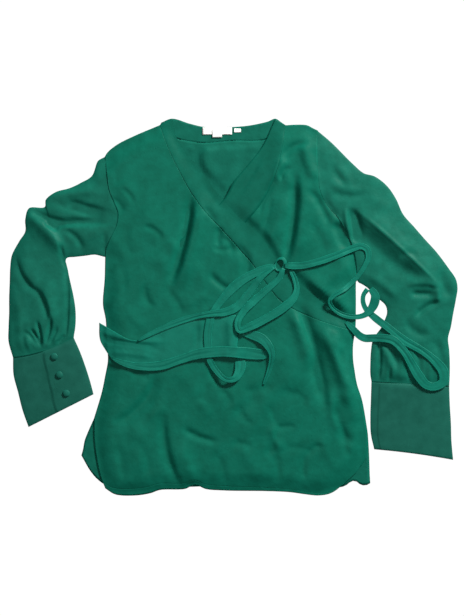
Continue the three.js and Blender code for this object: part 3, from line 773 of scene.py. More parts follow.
@dataclass
class Body:
    """The back and both fronts.

    A reach is how far inside an edge something is full, and as a pair it also says where that thing starts.
    """

    table: Worktable
    wall: float = 0.8
    depth: float = 1.9
    crease: float = 1.15
    back_top: float = 1.2
    under_top: float = 2.7
    over_step: float = 1.5
    over_step_reach: tuple[float, float] = (-22.0, -1.5)
    loft: float = 4.6
    loft_reach: float = 34.0
    fold_reach: tuple[float, float] = (1.0, 12.0)
    free_reach: tuple[float, float] = (0.5, 18.0)
    back_loft: float = 2.4
    back_loft_reach: float = 14.0
    back_fold_reach: float = 8.0
    bend: float = 0.2

    back_folds: Folds = folds(
        (-54, 300, -59, 240, -9, -3.6, 7, 7),
        (-40, 296, -44, 232, -8, 2.2, 14, 7),
        (44, 284, 8, 236, -4, -1.6, 6, 12),
        (-6, 236, 4, 270, 3, 0.6, 8, 8),
    )
    over_folds: Folds = folds(
        (-75, 200, -112, 40, 5, -3.2, 8, 9),
        (-61, 190, -97, 44, 6, 2.8, 18, 10),
        (-156, 146, -126, 124, 3, -1.2, 5, 7),
        (-206, 222, -176, 180, 5, 1.0, 14, 12),
        (-158, 180, -120, 120, -5, 1.2, 20, 20),
        (-24, 142, -26, 108, 0, -1.6, 7, 6),
        (6, 112, 20, 50, 14, -1.8, 8, 12),
        (-34, 106, 2, 105, -3, -1.0, 5, 6),
        (-40, 60, 0, 30, -5, -1.5, 7, 7),
        (-157, 40, -140, -2, -7, -1.2, 6, 8),
        (-136, -128, -206, -208, 10, -2.2, 14, 8),
        (-124, -196, -98, -316, -8, -2.0, 7, 10),
        (-92, -242, -62, -322, -6, 1.9, 14, 22),
        (-88, -218, -28, -242, -4, -1.4, 6, 6),
        (-168, -210, -170, -300, 3, 1.3, 16, 18),
        (70, -212, 86, -256, -3, 1.3, 9, 8),
        (18, -240, 60, -310, -6, 1.2, 18, 16),
        (109, -8, 143, -102, 3, 3.4, 8, 13),
        (120, 10, 166, -178, 2, -3.4, 11, 12),
        (158, -34, 215, -172, 5, 4.0, 14, 13),
        (184, -176, 212, -246, -5, -1.9, 8, 10),
        (196, -150, 224, -206, 4, 1.3, 12, 12),
        (176, -150, 198, -232, -6, 1.8, 12, 9),
        (60, -60, 106, -150, 8, 1.4, 26, 24),
        (-30, -150, 56, -230, 10, 1.0, 30, 30),
    )
    over_creases: Folds = folds(
        (-50, 178, -29, 150, 2, -1.7, 5, 5),
        (-18, 126, 2, 96, 4, -1.6, 6, 7),
        (-200, 214, -176, 186, 3, -1.6, 5, 6),
        (-216, 196, -196, 170, 3, -1.2, 5, 6),
        (-190, 150, -180, 90, -6, -1.0, 8, 12),
        (-208, 100, -196, 20, 5, -1.0, 8, 10),
        (-160, 92, -120, 74, 4, 0.9, 12, 10),
        (-120, 120, -96, 96, 3, 0.8, 9, 9),
        (-122, 34, -90, -14, 5, -1.2, 6, 9),
        (-70, 80, -52, 30, 4, 1.0, 10, 12),
        (-86, 0, -40, 18, 5, 0.9, 10, 8),
        (-190, -2, -160, -34, -4, 1.0, 10, 8),
        (-182, -120, -150, -128, 3, -1.2, 6, 8),
        (-19, -150, -2, -176, 3, -1.1, 5, 8),
        (10, -176, 34, -212, -3, -1.1, 6, 8),
        (-66, -170, -40, -196, 3, 1.0, 9, 9),
        (-170, -240, -150, -300, 5, -1.2, 8, 10),
        (-206, -250, -196, -316, 3, -1.0, 8, 9),
        (-30, -262, -14, -318, 4, -1.2, 7, 10),
        (80, -220, 62, -268, 3, -1.6, 6, 7),
        (80, -218, 112, -214, 2, -1.2, 5, 6),
        (84, -222, 66, -176, 0, -1.0, 6, 8),
        (92, -252, 140, -258, 3, -0.9, 6, 9),
        (132, -262, 128, -310, -3, -1.5, 6, 8),
        (30, -120, 60, -190, 6, 1.2, 18, 14),
        (160, -230, 186, -290, -4, 1.2, 9, 10),
        (196, -210, 210, -270, -4, -1.4, 7, 8),
        (186, -70, 206, -130, 3, -1.6, 6, 7),
        (178, -40, 192, -84, 4, 1.6, 7, 7),
        (-40, -110, -8, -140, -5, -2.2, 9, 9),
        (-62, -36, -58, -74, 0, -1.8, 6, 6),
        (20, -150, 70, -140, -4, -1.2, 9, 9),
        (-150, -200, -120, -180, 3, 0.9, 10, 8),
        (77, -262, 81, -312, 2, -1.2, 6, 9),
        (134, -264, 160, -247, 3, -1.3, 5, 7),
        (0, -244, 36, -256, 4, -1.3, 7, 9),
        (52, -158, 4, -204, -4, -1.3, 9, 12),
        (84, -150, 136, -172, 5, -1.2, 8, 12),
        (-196, -60, -150, -84, 3, 1.0, 12, 9),
        (-110, -110, -60, -160, 5, 1.1, 14, 12),
    )
    under_creases: Folds = folds(
        (90, 270, 134, 296, 6, -2.4, 6, 7),
        (102, 252, 86, 228, -3, -2.2, 5, 6),
        (68, 200, 50, 130, 4, -1.3, 6, 7),
        (88, 262, 112, 214, -6, 1.2, 10, 8),
        (150, 240, 146, 180, 4, 1.0, 8, 12),
        (140, 150, 166, 96, 5, -1.3, 8, 9),
        (120, 60, 160, 84, -4, 1.0, 9, 8),
        (164, 204, 196, 158, -5, -2.2, 7, 5),
        (184, 150, 200, 106, -3, -2.2, 7, 6),
        (176, 100, 212, 64, 4, 1.3, 8, 8),
        (150, 44, 176, 20, 3, -1.3, 6, 7),
    )
    under_folds: Folds = folds(
        (111, 236, 93, 78, 6, -3.4, 9, 8),
        (126, 240, 109, 84, 6, 2.6, 20, 11),
        (76, 226, 48, 168, -4, -1.2, 6, 8),
        (94, 266, 78, 228, -4, 1.4, 8, 8),
        (88, 200, 66, 120, 6, 1.3, 12, 10),
        (136, 210, 174, 142, 6, -1.8, 8, 8),
        (128, 296, 148, 230, -4, 2.2, 12, 9),
        (186, 150, 206, 104, 4, -2.2, 10, 8),
        (150, 20, 208, 72, 6, 1.8, 12, 12),
        (168, -2, 200, 30, -4, 1.8, 9, 9),
        (130, 52, 214, -12, 0, 2.4, 12, 6),
    )

    def __post_init__(self) -> None:
        """Measures the outlines that the heights depend on."""
        again = back_again
        across_neck = Run((-131, 327), (-109, 339), (77, 339), (95, 327))
        into_left_sleeve = Run((154, 317), (300, 240), (224, 112))
        into_right_sleeve = Run((-230, 270), (-330, 180), (-229, 90))
        self.body_inset = Inset(
            RIGHT_SHOULDER.even, across_neck.even, LEFT_SHOULDER.even, into_left_sleeve.even,
            LEFT_SIDE_SEAM.even, OVER_VENT_RIGHT.even, again(OVER_HEM.even), again(OVER_VENT_LEFT.even),
            again(RIGHT_SIDE_SEAM.even), again(into_right_sleeve.even),
        )
        self.opening_inset = Inset(
            Run((-98, 300), (-50, 292), (-4, 296), (46, 297), (60, 292)).even,
            Run((60, 292), (49, 276), (20, 243), (-14, 200)).even,
            Run((-14, 200), (-50, 240), (-98, 300)).even,
        )
        self.under_inset = Inset(
            UNDER_NECK_EDGE.even, SLIT_EDGE.even, UNDER_FRONT_EDGE.even, UNDER_HEM.even,
            again(LEFT_VENT.even), again(LEFT_SIDE_SEAM.even), again(LEFT_ARMHOLE.even),
            again(LEFT_SHOULDER.even),
        )
        self.over_inset = Inset(
            OVER_NECK_EDGE.even, OVER_FREE_EDGE.even, OVER_VENT_RIGHT.even, again(OVER_HEM.even),
            again(OVER_VENT_LEFT.even), again(RIGHT_SIDE_SEAM.even), again(RIGHT_ARMHOLE.even),
            RIGHT_SHOULDER.even,
        )

    def _lift(self, large: Folds, fine: Folds, x: Array, y: Array) -> Array:
        """Measures how far a front stands off its lowest level.

        Args:
            large: its large folds.
            fine: its creases.
            x: the points' x.
            y: the points' y.
        Returns:
            The height of its loft and folds, which die away at the outline.
        """
        inset = self.body_inset.at(x, y)
        loft = self.loft * smoothstep(inset, 0, self.loft_reach)
        folded = self.depth * relief(large, x, y) + self.crease * relief(fine, x, y)
        return above_floor(loft + folded * smoothstep(inset, *self.fold_reach))

    def over_level(self, x: Array, y: Array) -> Array:
        """Lowest upper face of the right front, which climbs over the left one."""
        return self.under_top + self.over_step * smoothstep(self.under_inset.at(x, y), *self.over_step_reach)

    def over_height(self, x: Array, y: Array) -> Array:
        """Upper face of the right front."""
        return self.over_level(x, y) + self._lift(self.over_folds, self.over_creases, x, y)

    def under_height(self, x: Array, y: Array) -> Array:
        """Upper face of the left front, pressed flat where it is covered."""
        free = smoothstep(-self.over_inset.at(x, y), *self.free_reach)
        return self.under_top + free * self._lift(self.under_folds, self.under_creases, x, y)

    def back_height(self, x: Array, y: Array) -> Array:
        """Measures the back: flat under the fronts and a little loose in the open neck.

        Args:
            x: the points' x.
            y: the points' y.
        Returns:
            The height of its upper face.
        """
        inset = self.opening_inset.at(x, y)
        lift = self.back_loft * smoothstep(inset, 0, self.back_loft_reach) + relief(self.back_folds, x, y)
        return self.back_top + smoothstep(inset, 0, self.back_fold_reach) * above_floor(lift, self.bend)

    @staticmethod
    def hem_marks(width: float, length: float) -> Place:
        """Distance from the hem and along it, for a panel of that size."""
        return lambda u, v: np.column_stack([(1 - v) * length, u * width])

    def make(self) -> None:
        """Lays the back, then the left front, then the right front."""
        top = chain((RIGHT_SHOULDER, 5), (BACK_NECK_SEAM, 9), (LEFT_SHOULDER, 3))
        right = chain((RIGHT_ARMHOLE, 6), (RIGHT_SIDE_SEAM, 5), (BACK_RIGHT_VENT, 2))
        left = chain((LEFT_ARMHOLE, 6), (LEFT_SIDE_SEAM, 5), (BACK_LEFT_VENT, 2))
        place = raised(between(top, BACK_HEM.even, right, left), self.back_height)
        bm = self.table.grid((80, 110), place, self.hem_marks(width=480, length=640), closed=False)
        self.table.lay("back_panel", bm, Finish.INSIDE, self.wall, Cut(0.52, 0.67, 0.28))

        top = chain((UNDER_SEAM_HIDDEN.turned(), 5), (UNDER_SEAM_SHOWN.turned(), 9), (LEFT_SHOULDER, 3))
        left = chain((LEFT_ARMHOLE, 12), (LEFT_SIDE_SEAM, 7), (LEFT_VENT, 1))
        place = raised(between(top, UNDER_HEM.even, UNDER_FRONT_EDGE.even, left), self.under_height)
        bm = self.table.grid((120, 150), place, self.hem_marks(width=430, length=560), closed=False)
        cut = Cut(0.47, 0.65, 0.2, rests_on=("back_panel",))
        self.table.lay("left_front", bm, Finish.OUTSIDE, self.wall, cut)

        top = chain((RIGHT_SHOULDER, 5), (OVER_SEAM, 20))
        right = chain((RIGHT_ARMHOLE, 12), (RIGHT_SIDE_SEAM, 9), (OVER_VENT_LEFT, 4))
        left = chain((OVER_FREE_EDGE, 17), (OVER_VENT_RIGHT, 8))
        place = raised(between(top, OVER_HEM.even, right, left), self.over_height)
        bm = self.table.grid((190, 230), place, self.hem_marks(width=460, length=560), closed=False)
        cut = Cut(0.49, 0.68, 0.215, rests_on=("left_front",))
        self.table.lay("right_front", bm, Finish.OUTSIDE, self.wall, cut)


@dataclass
class NeckBands:
    """Strips sewn along the necklines, tucked a little under their panels."""

    table: Worktable
    body: Body
    wall: float = 0.45
    roll: float = 0.5
    tuck: float = 0.9
    sunk: float = 0.25
    sunk_reach: float = 0.12
    spring: float = 2.4
    spring_reach: tuple[float, float] = (0.3, 1.0)
    over_cells: tuple[int, int] = (12, 180)
    under_cells: tuple[int, int] = (12, 160)
    back_cells: tuple[int, int] = (10, 76)

    band_folds: Folds = folds(
        (52, 276, 4, 194, 3, -1.5, 3, 5),
        (58, 262, 18, 196, 3, 0.9, 7, 4),
        (-46, 216, -18, 178, 3, -1.1, 6, 9),
        (118, 34, 134, 4, 0, -0.9, 7, 9),
        (20, 130, 44, 96, -3, -0.7, 8, 8),
    )

    @staticmethod
    def band_marks(width: float, length: float) -> Place:
        """Distance from the nearer long edge and along it, for a band of that size."""
        return lambda u, v: np.column_stack([np.minimum(u, 1 - u) * width, v * length])

    def band(self, panel: Height, level: Height, plan: Place, free_at: float, spring: float) -> Place:
        """Leads a band from its panel's height at the seam down to a soft free edge.

        Args:
            panel: the height at the seam.
            level: the lowest height at the free edge.
            plan: the band's plan.
            free_at: the share across, 0 or 1, of the free edge.
            spring: how far the free edge stands up, in millimetres.
        Returns:
            The band's place.
        """

        def place(u: Array, v: Array) -> Array:
            """Places the band's points.

            Args:
                u: shares across.
                v: shares along.
            Returns:
                The points in x, y and z.
            """
            flat = plan(u, v)
            out = np.abs(u - (1 - free_at))
            high = panel(*flat.T) - self.sunk * (1 - smoothstep(out, 0, self.sunk_reach))
            low = np.minimum(high, level(*flat.T) + self.roll)
            crown = spring * np.sin(np.pi * v) * smoothstep(out, *self.spring_reach)
            rise = crown + relief(self.band_folds, *flat.T) * arched(out, 0.5)
            lift = (high - low) * (1 - smoothstep(out, 0, 1)) + rise
            return np.column_stack([flat, low + above_floor(lift, self.body.bend)])

        return place

    def make(self) -> None:
        """Lays the three bands; the right one's free edge stays sharp."""
        body = self.body
        plan = strip(moved(OVER_SEAM.even, -self.tuck), OVER_NECK_EDGE.even)
        place = self.band(body.over_height, body.over_level, plan, free_at=1, spring=0.0)
        marks = self.band_marks(width=20, length=530)
        bm = self.table.grid(self.over_cells, place, marks, closed=False)
        across = self.over_cells[0]
        for edge in bm.edges:
            edge.smooth = not all(vert.index % (across + 1) == across for vert in edge.verts)
        cut = Cut(0.036, 0.55, 0.0187, rests_on=("left_front",))
        self.table.lay("right_neck_band", bm, Finish.BAND, self.wall, cut)

        near = chain((UNDER_SEAM_SHOWN.beside(self.tuck), 9), (UNDER_SEAM_HIDDEN.beside(self.tuck), 5))
        plan = strip(UNDER_NECK_EDGE.even, near)
        level = level_at(body.under_top)
        place = self.band(body.under_height, level, plan, free_at=0, spring=self.spring)
        marks = self.band_marks(width=20, length=480)
        bm = self.table.grid(self.under_cells, place, marks, closed=False)
        cut = Cut(0.05, 0.5, 0.021, rests_on=("back_panel",))
        self.table.lay("left_neck_band", bm, Finish.BAND, self.wall, cut)

        plan = strip(moved(BACK_NECK_SEAM.even, -self.tuck), BACK_NECK_EDGE.even)
        place = raised(plan, level_at(body.back_top))
        marks = self.band_marks(width=24, length=225)
        bm = self.table.grid(self.back_cells, place, marks, closed=False)
        self.table.lay("back_neck_band", bm, Finish.INSIDE, self.wall, Cut(0.03, 0.23, 0.0058))


@dataclass
class Labels:
    """Bare woven labels on the inside of the back band."""

    table: Worktable
    wall: float = 0.5
    lift: float = 1.9
    curl: float = 0.35
    cells: tuple[int, int] = (16, 6)

    def label(self, node: str, edges: tuple[float, float, float, float], level: float, cut: Cut) -> None:
        """Lays one label, with its ends curled up.

        Args:
            node: the frame's node that it stands for.
            edges: its left, right, lower and upper edge.
            level: the height of its middle.
            cut: its flat size.
        """
        left, right, low, high = edges

        def place(u: Array, v: Array) -> Array:
            """Places the label's points."""
            curl = self.curl * (2 * u - 1) ** 4
            return np.column_stack([left + (right - left) * u, high + (low - high) * v, level + curl])

        bm = self.table.grid(self.cells, place, None, closed=False)
        self.table.lay(node, bm, Finish.LABEL, self.wall, cut)

    def make(self) -> None:
        """Lays the three labels."""
        for node, edges, rise, size in (
            ("main_label", (-54, -1, 310, 323), 0.0, (0.053, 0.013, 0.00068)),
            ("label_tab", (-36, -19, 305, 319), 0.9, (0.017, 0.014, 0.000238)),
            ("size_label", (3, 15, 314, 321), 0.0, (0.012, 0.0102, 0.00009)),
        ):
            self.label(node, edges, self.lift + rise, Cut(*size, rests_on=("back_neck_band",)))


@dataclass
class FlatTube:
    """A closed tube laid flat, read from a table of stations: inner edge, outer edge and bow."""

    rows: Rows
    middle: float = 1.5
    floor: float = 0.15
    upper_share: float = 0.6
    belly: float = 0.25

    def __post_init__(self) -> None:
        """Fits the two edges."""
        self.inner = Run(*[row[:2] for row in self.rows])
        self.outer = Run(*[row[2:4] for row in self.rows])
        self.bows = np.array([row[4] for row in self.rows])

    def plan(self, c: Array, s: Array) -> Array:
        """Lays the tube out in plan.

        Args:
            c: shares across.
            s: shares along.
        Returns:
            The points in x and y.
        """
        start, end = self.inner.steady(s), self.outer.steady(s)
        line = end - start
        bow = np.interp(s * (len(self.bows) - 1), np.arange(len(self.bows)), self.bows)
        return start + line * c[:, None] - left_of(line) * (bow * 4 * c * (1 - c))[:, None]

    def place(self, plan: Place, top: Callable[[Array, Array, Array, Array], Array]) -> Place:
        """Wraps the tube round: the upper ply first, then the lower one back.

        Args:
            plan: place in plan at a share across and along.
            top: height of the upper ply at x, y, share across and share along.
        Returns:
            The tube's place at a share round and along.
        """

        def wrapped(u: Array, v: Array) -> Array:
            """Places the tube's points.

            Args:
                u: shares round.
                v: shares along.
            Returns:
                The points in x, y and z.
            """
            upper, c = around_tube(u, self.upper_share)
            flat = plan(c, v)
            low = self.middle - (self.middle - self.floor) * arched(c, self.belly)
            return np.column_stack([flat, np.where(upper, top(*flat.T, c, v), low)])

        return wrapped


@dataclass
class Sleeves:
    """Both sleeves, from the armholes to the gathers at the cuffs."""

    table: Worktable
    body: Body
    wall: float = 0.7
    edge: float = 2.9
    crown: float = 4.2
    cuff_middle: float = 1.7
    tuck: float = 1.0
    sunk: float = 0.3
    cuff_rise: float = 2.72
    round_by: float = 0.5
    cuff_round_by: float = 0.4
    right_gathers: int = 7
    left_gathers: int = 8
    gather_height: float = 1.3
    gather_from: tuple[float, float] = (0.84, 0.97)
    cuff_from: float = 0.955
    armhole_until: float = 0.1
    cells: tuple[int, int] = (160, 180)

    right_rows: Rows = (
        (-229, 88, -231, 270, 19),
        (-246, 94, -242, 263, 12),
        (-266, 92, -253, 236, 8),
        (-284, 90, -272, 224, 4),
        (-296, 89, -293, 214, 0),
        (-299, 87, -318, 207, 0),
        (-300, 84, -336, 193, -2),
        (-300, 81, -338, 180, -3),
        (-299, 78, -366, 178, -4),
        (-298, 74, -373, 158, -4),
        (-297, 70, -373, 136, -4),
        (-296, 66, -384, 118, -4),
        (-295, 60, -397, 93, -4),
        (-292, 46, -400, 72, -3),
        (-287, 24, -401, 44, -2),
        (-283, 0, -402, 16, 0),
        (-282, -20, -402, -10, 0),
        (-283, -38, -403, -36, 0),
        (-285, -50, -403, -62, -2),
        (-285.6, -55.7, -394.6, -92.1, -6),
    )
    left_rows: Rows = (
        (224, 110, 154, 317, -23),
        (224.2, 99, 178, 296, -17),
        (224.2, 87, 197, 277, -12),
        (224.2, 74, 215, 259, -9),
        (223.4, 61, 236, 241, -6),
        (223.2, 52, 256, 235, -2),
        (226, 45, 278, 218, 2),
        (233, 41, 294, 195, 4),
        (241, 36, 307, 167, 4),
        (250, 28, 327, 144, 4),
        (259, 19, 347, 121, 4),
        (266, 12, 367, 99, 4),
        (273, 6, 388, 71, 4),
        (277, -1, 402, 50, 4),
        (278, -11, 405, 34, 3),
        (274, -23, 402, 13, 2),
        (267, -38, 397, -13, 2),
        (258, -50, 393, -36, 0),
        (252, -61, 388, -56, 0),
        (249, -81, 390, -77, 0),
        (248, -102, 391, -99, 0),
        (248, -121, 391, -121, 0),
        (250, -134.6, 390, -143.6, 0),
    )
    right_folds: Folds = folds(
        (-366, 168, -304, 96, 6, 3.2, 9, 14),
        (-230, 172, -322, 188, 6, -1.6, 7, 9),
        (-240, 208, -340, 200, -4, 2.6, 10, 12),
        (-320, 148, -208, 150, 3, -3.0, 8, 5),
        (-300, 128, -226, 128, 0, 1.2, 18, 18),
        (-300, 138, -270, 104, 5, -1.6, 6, 6),
        (-389, 90, -352, 28, -8, -1.3, 3, 8),
        (-380, 94, -343, 32, -8, 1.0, 14, 5),
        (-354, 32, -332, -26, 5, -1.3, 4, 6),
        (-345, 36, -324, -22, 5, 0.9, 12, 4),
        (-364, 175, -305, 148, -3, -3.4, 8, 7),
        (-336, 152, -314, 140, 0, -3.6, 5, 5),
        (-296, 190, -200, 162, -5, -3.4, 8, 9),
        (-229, 134, -230, 96, 0, -2.2, 4, 5),
        (-308, 112, -298, 70, -2, -2.0, 4, 5),
        (-298, 80, -300, -58, 3, -2.6, 3, 5),
        (-374, -44, -350, -72, 3, -1.4, 4, 4),
        (-362, -40, -345, -72, 2, -2.0, 3, 3),
        (-351, -26, -343, -70, 1, -2.0, 3, 3),
        (-326, -20, -337, -69, 2, -2.0, 3, 3),
        (-315, -36, -331, -67, 2, -1.8, 3, 3),
        (-302, -50, -316, -66, 1, -1.6, 3, 3),
        (-396, 30, -384, -60, 6, 1.0, 9, 9),
        (-250, 240, -300, 212, 3, -1.3, 6, 7),
        (-330, 60, -318, -40, -4, 1.2, 12, 12),
    )
    left_folds: Folds = folds(
        (228, 170, 372, 38, 2, 3.0, 24, 12),
        (230, 168, 368, 42, 2, 0.9, 3, 3),
        (224, 142, 332, 50, -8, -1.8, 12, 18),
        (216, 174, 224, 116, 2, -3.8, 9, 10),
        (203, 178, 211, 128, -2, 1.6, 5, 6),
        (176, 204, 250, 205, -4, -0.9, 7, 7),
        (166, 230, 236, 208, -8, 1.1, 9, 8),
        (166, 262, 214, 214, 8, 0.9, 9, 9),
        (374, 66, 392, 18, -4, -2.0, 9, 8),
        (314, 40, 372, 36, 5, 1.5, 9, 5),
        (322, 24, 360, 23, 0, -1.8, 5, 6),
        (368, 34, 370, 8, 0, 1.6, 4, 6),
        (330, -17, 370, 9, 4, -2.0, 6, 5),
        (310, -24, 354, -52, -7, -1.2, 8, 8),
        (260, -50, 296, -112, 6, -1.8, 6, 8),
        (266, -40, 308, -100, 8, 2.0, 8, 7),
        (176, 262, 204, 222, -4, -1.2, 7, 8),
        (236, 214, 288, 176, -5, 1.0, 12, 12),
        (366, -60, 380, -120, 3, -1.5, 6, 7),
        (330, -70, 336, -124, 3, -1.6, 6, 6),
        (300, 92, 330, 96, 3, -1.0, 7, 7),
        (236, 60, 296, 14, 4, 1.6, 9, 8),
        (270, -66, 290, -124, 2, 2.2, 10, 8),
        (264, -58, 262, -136, 2, -2.8, 3, 6),
        (284, -104, 280, -140, 0, -1.6, 3, 4),
        (316, -100, 320, -140, 0, -1.4, 3, 4),
    )

    def gathers(self, count: int, c: Array, s: Array) -> Array:
        """Makes uneven waves along the sleeve that grow towards the cuff seam.

        Args:
            count: how many waves.
            c: shares across.
            s: shares along.
        Returns:
            Their height.
        """
        grown = smoothstep(s, *self.gather_from)
        uneven = 0.7 + 0.3 * np.sin(c * 17 + 2)
        waves = 0.5 + 0.5 * np.cos(c * count * TAU + np.sin(c * 9))
        return self.gather_height * grown * uneven * waves

    def tube(self, rows: Rows, table: Folds, waves: int, armhole: Edge, front: Height, sunk: float) -> Place:
        """Shapes one sleeve.

        Args:
            rows: its stations.
            table: its folds.
            waves: gathers across its cuff end.
            armhole: the armhole seam, walked upward.
            front: height of the front panel beside it.
            sunk: how far it lies under the panel's face at the seam.
        Returns:
            The sleeve's place.
        """
        tube = FlatTube(rows)
        first = 1 / (len(rows) - 1)

        def plan(c: Array, s: Array) -> Array:
            """Leads the armhole's curve over into the stations."""
            blend = smoothstep(s, 0, first)[:, None]
            return armhole(c) * (1 - blend) + tube.plan(c, s) * blend

        def top(x: Array, y: Array, c: Array, s: Array) -> Array:
            """Measures the upper ply, from the front panel's level to the cuff's.

            Args:
                x: the points' x.
                y: the points' y.
                c: shares across.
                s: shares along.
            Returns:
                The height at each point.
            """
            lift = self.crown + self.body.depth * relief(table, x, y) + self.gathers(waves, c, s)
            rounded = arched(c, self.round_by)
            own = tube.middle + rounded * (self.edge - tube.middle + above_floor(lift))
            cuff = self.cuff_middle + arched(c, self.cuff_round_by) * self.cuff_rise
            own += (cuff - own) * smoothstep(s, self.cuff_from, 1)
            near = 1 - smoothstep(s, 0, self.armhole_until)
            return own + (front(x, y) - sunk - own) * near * rounded

        return tube.place(plan, top)

    def make(self) -> None:
        """Lays both sleeves."""
        body = self.body
        seam = back_again(moved(RIGHT_ARMHOLE.even, self.tuck))
        place = self.tube(
            self.right_rows, self.right_folds, self.right_gathers, seam, body.over_height, self.sunk
        )
        bm = self.table.grid(self.cells, place, None, closed=True)
        self.table.lay("right_sleeve", bm, Finish.SLEEVE, self.wall, Cut(0.3, 0.36, 0.08))
        seam = back_again(moved(LEFT_ARMHOLE.even, -self.tuck))
        place = self.tube(
            self.left_rows, self.left_folds, self.left_gathers, seam, body.under_height, -self.sunk
        )
        bm = self.table.grid(self.cells, place, None, closed=True)
        self.table.lay("left_sleeve", bm, Finish.SLEEVE, self.wall, Cut(0.36, 0.42, 0.113))


@dataclass
class Cuffs:
    """Deep cuffs; the right one shows its lap and three covered buttons."""

    table: Worktable
    wall: float = 1.0
    middle: float = 1.7
    edge: float = 3.4
    crown: float = 0.9
    round_by: float = 0.4
    wave: float = 0.25
    wave_pace: tuple[float, float] = (23.0, 31.0)
    length_round: float = 280.0
    cells: tuple[int, int] = (150, 44)
    lap_step: float = 1.3
    lap_width: float = 0.012
    lap_from: float = 0.06
    button_lap: tuple[float, float] = (0.52, 0.57)
    plain_lap: tuple[float, float] = (0.1, 0.07)
    button_radius: float = 6.5
    button_height: float = 3.2
    button_lift: float = 0.3
    button_foot: float = 0.82
    button_pinch: tuple[float, float] = (0.98, 0.12)
    button_rim: float = 0.3
    button_steps: int = 8
    button_turns: int = 28
    right_rows: Rows = (
        (-286, -54.6, -395, -91, -6),
        (-275, -79, -394, -122, -4),
        (-265, -106, -386, -153, -2),
        (-257, -131, -378, -185, 0),
        (-250, -157, -367, -216, 0),
    )
    left_rows: Rows = (
        (250, -133.6, 390, -142.6, 0),
        (249, -165, 391, -175, 0),
        (248, -197, 393, -208, 0),
        (249, -229, 394, -241, 0),
        (255, -256, 397, -275, -2),
    )
    buttons: tuple[tuple[float, float], ...] = ((-320, -89), (-311, -122), (-298.5, -155))

    def cuff(self, node: str, rows: Rows, lap: tuple[float, float], over: int) -> None:
        """Lays one cuff.

        Args:
            node: the frame's node that it stands for.
            rows: its stations.
            lap: where the lapped end lies at the seam and at the hem, as shares across.
            over: 1 if the inner side lies on top, or -1 for the outer side.
        """
        tube = FlatTube(rows, middle=self.middle)

        def top(x: Array, y: Array, c: Array, s: Array) -> Array:
            """Measures the upper ply, with its lap and a slight wave.

            Args:
                x: the points' x.
                y: the points' y.
                c: shares across.
                s: shares along.
            Returns:
                The height at each point.
            """
            inside = (lap[0] + (lap[1] - lap[0]) * s - c) * over
            step = self.lap_step * smoothstep(inside, 0, self.lap_width) * smoothstep(s, 0, self.lap_from)
            wave = self.wave * np.sin(x / self.wave_pace[0]) * np.sin(y / self.wave_pace[1])
            rise = self.edge - self.middle + self.crown + step + wave
            return self.middle + arched(c, self.round_by) * rise

        def marks(u: Array, v: Array) -> Array:
            """Distance from the nearer end and round the cuff."""
            return np.column_stack([np.minimum(v, 1 - v) * tube.inner.length, u * self.length_round])

        bm = self.table.grid(self.cells, tube.place(tube.plan, top), marks, closed=True)
        self.table.lay(node, bm, Finish.CUFF, self.wall, Cut(0.28, 0.135, 0.033))

    def button_outline(self) -> list[tuple[float, float]]:
        """Draws half a covered button.

        Returns:
            Radius and height of each point, from the middle of its foot over the rim to its top.
        """
        radius, height = self.button_radius, self.button_height
        pinch, pinch_height = self.button_pinch
        outline = [(0.0, 0.0), (radius * self.button_foot, 0.0), (radius * pinch, height * pinch_height)]
        for i in range(self.button_steps + 1):
            turn = i / self.button_steps * math.pi / 2
            share = self.button_rim + (1 - self.button_rim) * math.sin(turn)
            outline.append((radius * math.cos(turn), height * share))
        return outline

    def button(self, node: str, x: float, y: float) -> None:
        """Spins one covered button: a dome over a pinched rim.

        Args:
            node: the frame's node that it stands for.
            x: the x of its middle.
            y: the y of its middle.
        """
        foot = self.table.support(x, y) + self.button_lift
        bm = bmesh.new()
        rim = [bm.verts.new(Vector((r, 0, z)) * MM) for r, z in self.button_outline()]
        edges = [bm.edges.new(pair) for pair in zip(rim, rim[1:])]
        bmesh.ops.spin(
            bm, geom=[*rim, *edges], axis=(0, 0, 1), cent=(0, 0, 0), angle=TAU,
            steps=self.button_turns, use_merge=True, use_duplicate=False,
        )
        bmesh.ops.remove_doubles(bm, verts=bm.verts, dist=WELD)
        bmesh.ops.recalc_face_normals(bm, faces=bm.faces)
        bmesh.ops.translate(bm, verts=bm.verts, vec=Vector((x, y, foot)) * MM)
        self.table.lay(node, bm, Finish.BUTTON)

    def make(self) -> None:
        """Lays both cuffs and sews on the buttons."""
        self.cuff("right_cuff", self.right_rows, self.button_lap, 1)
        self.cuff("left_cuff", self.left_rows, self.plain_lap, -1)
        for i, (x, y) in enumerate(self.buttons):
            self.button(f"right_cuff_button_{i + 1}", x, y)


@dataclass(frozen=True)
class TieRoute:
    """One stretch of a tie: its node, its route of x, y and width, how far its ends narrow and its hump.

    The hump stands off the cloth: its middle and reach as shares of the length, and its height.
    """

    node: str
    rows: Rows
    start_taper: float = 1
    end_taper: float = 1
    hump: tuple[float, float, float] = (0.5, 0.2, 0.0)


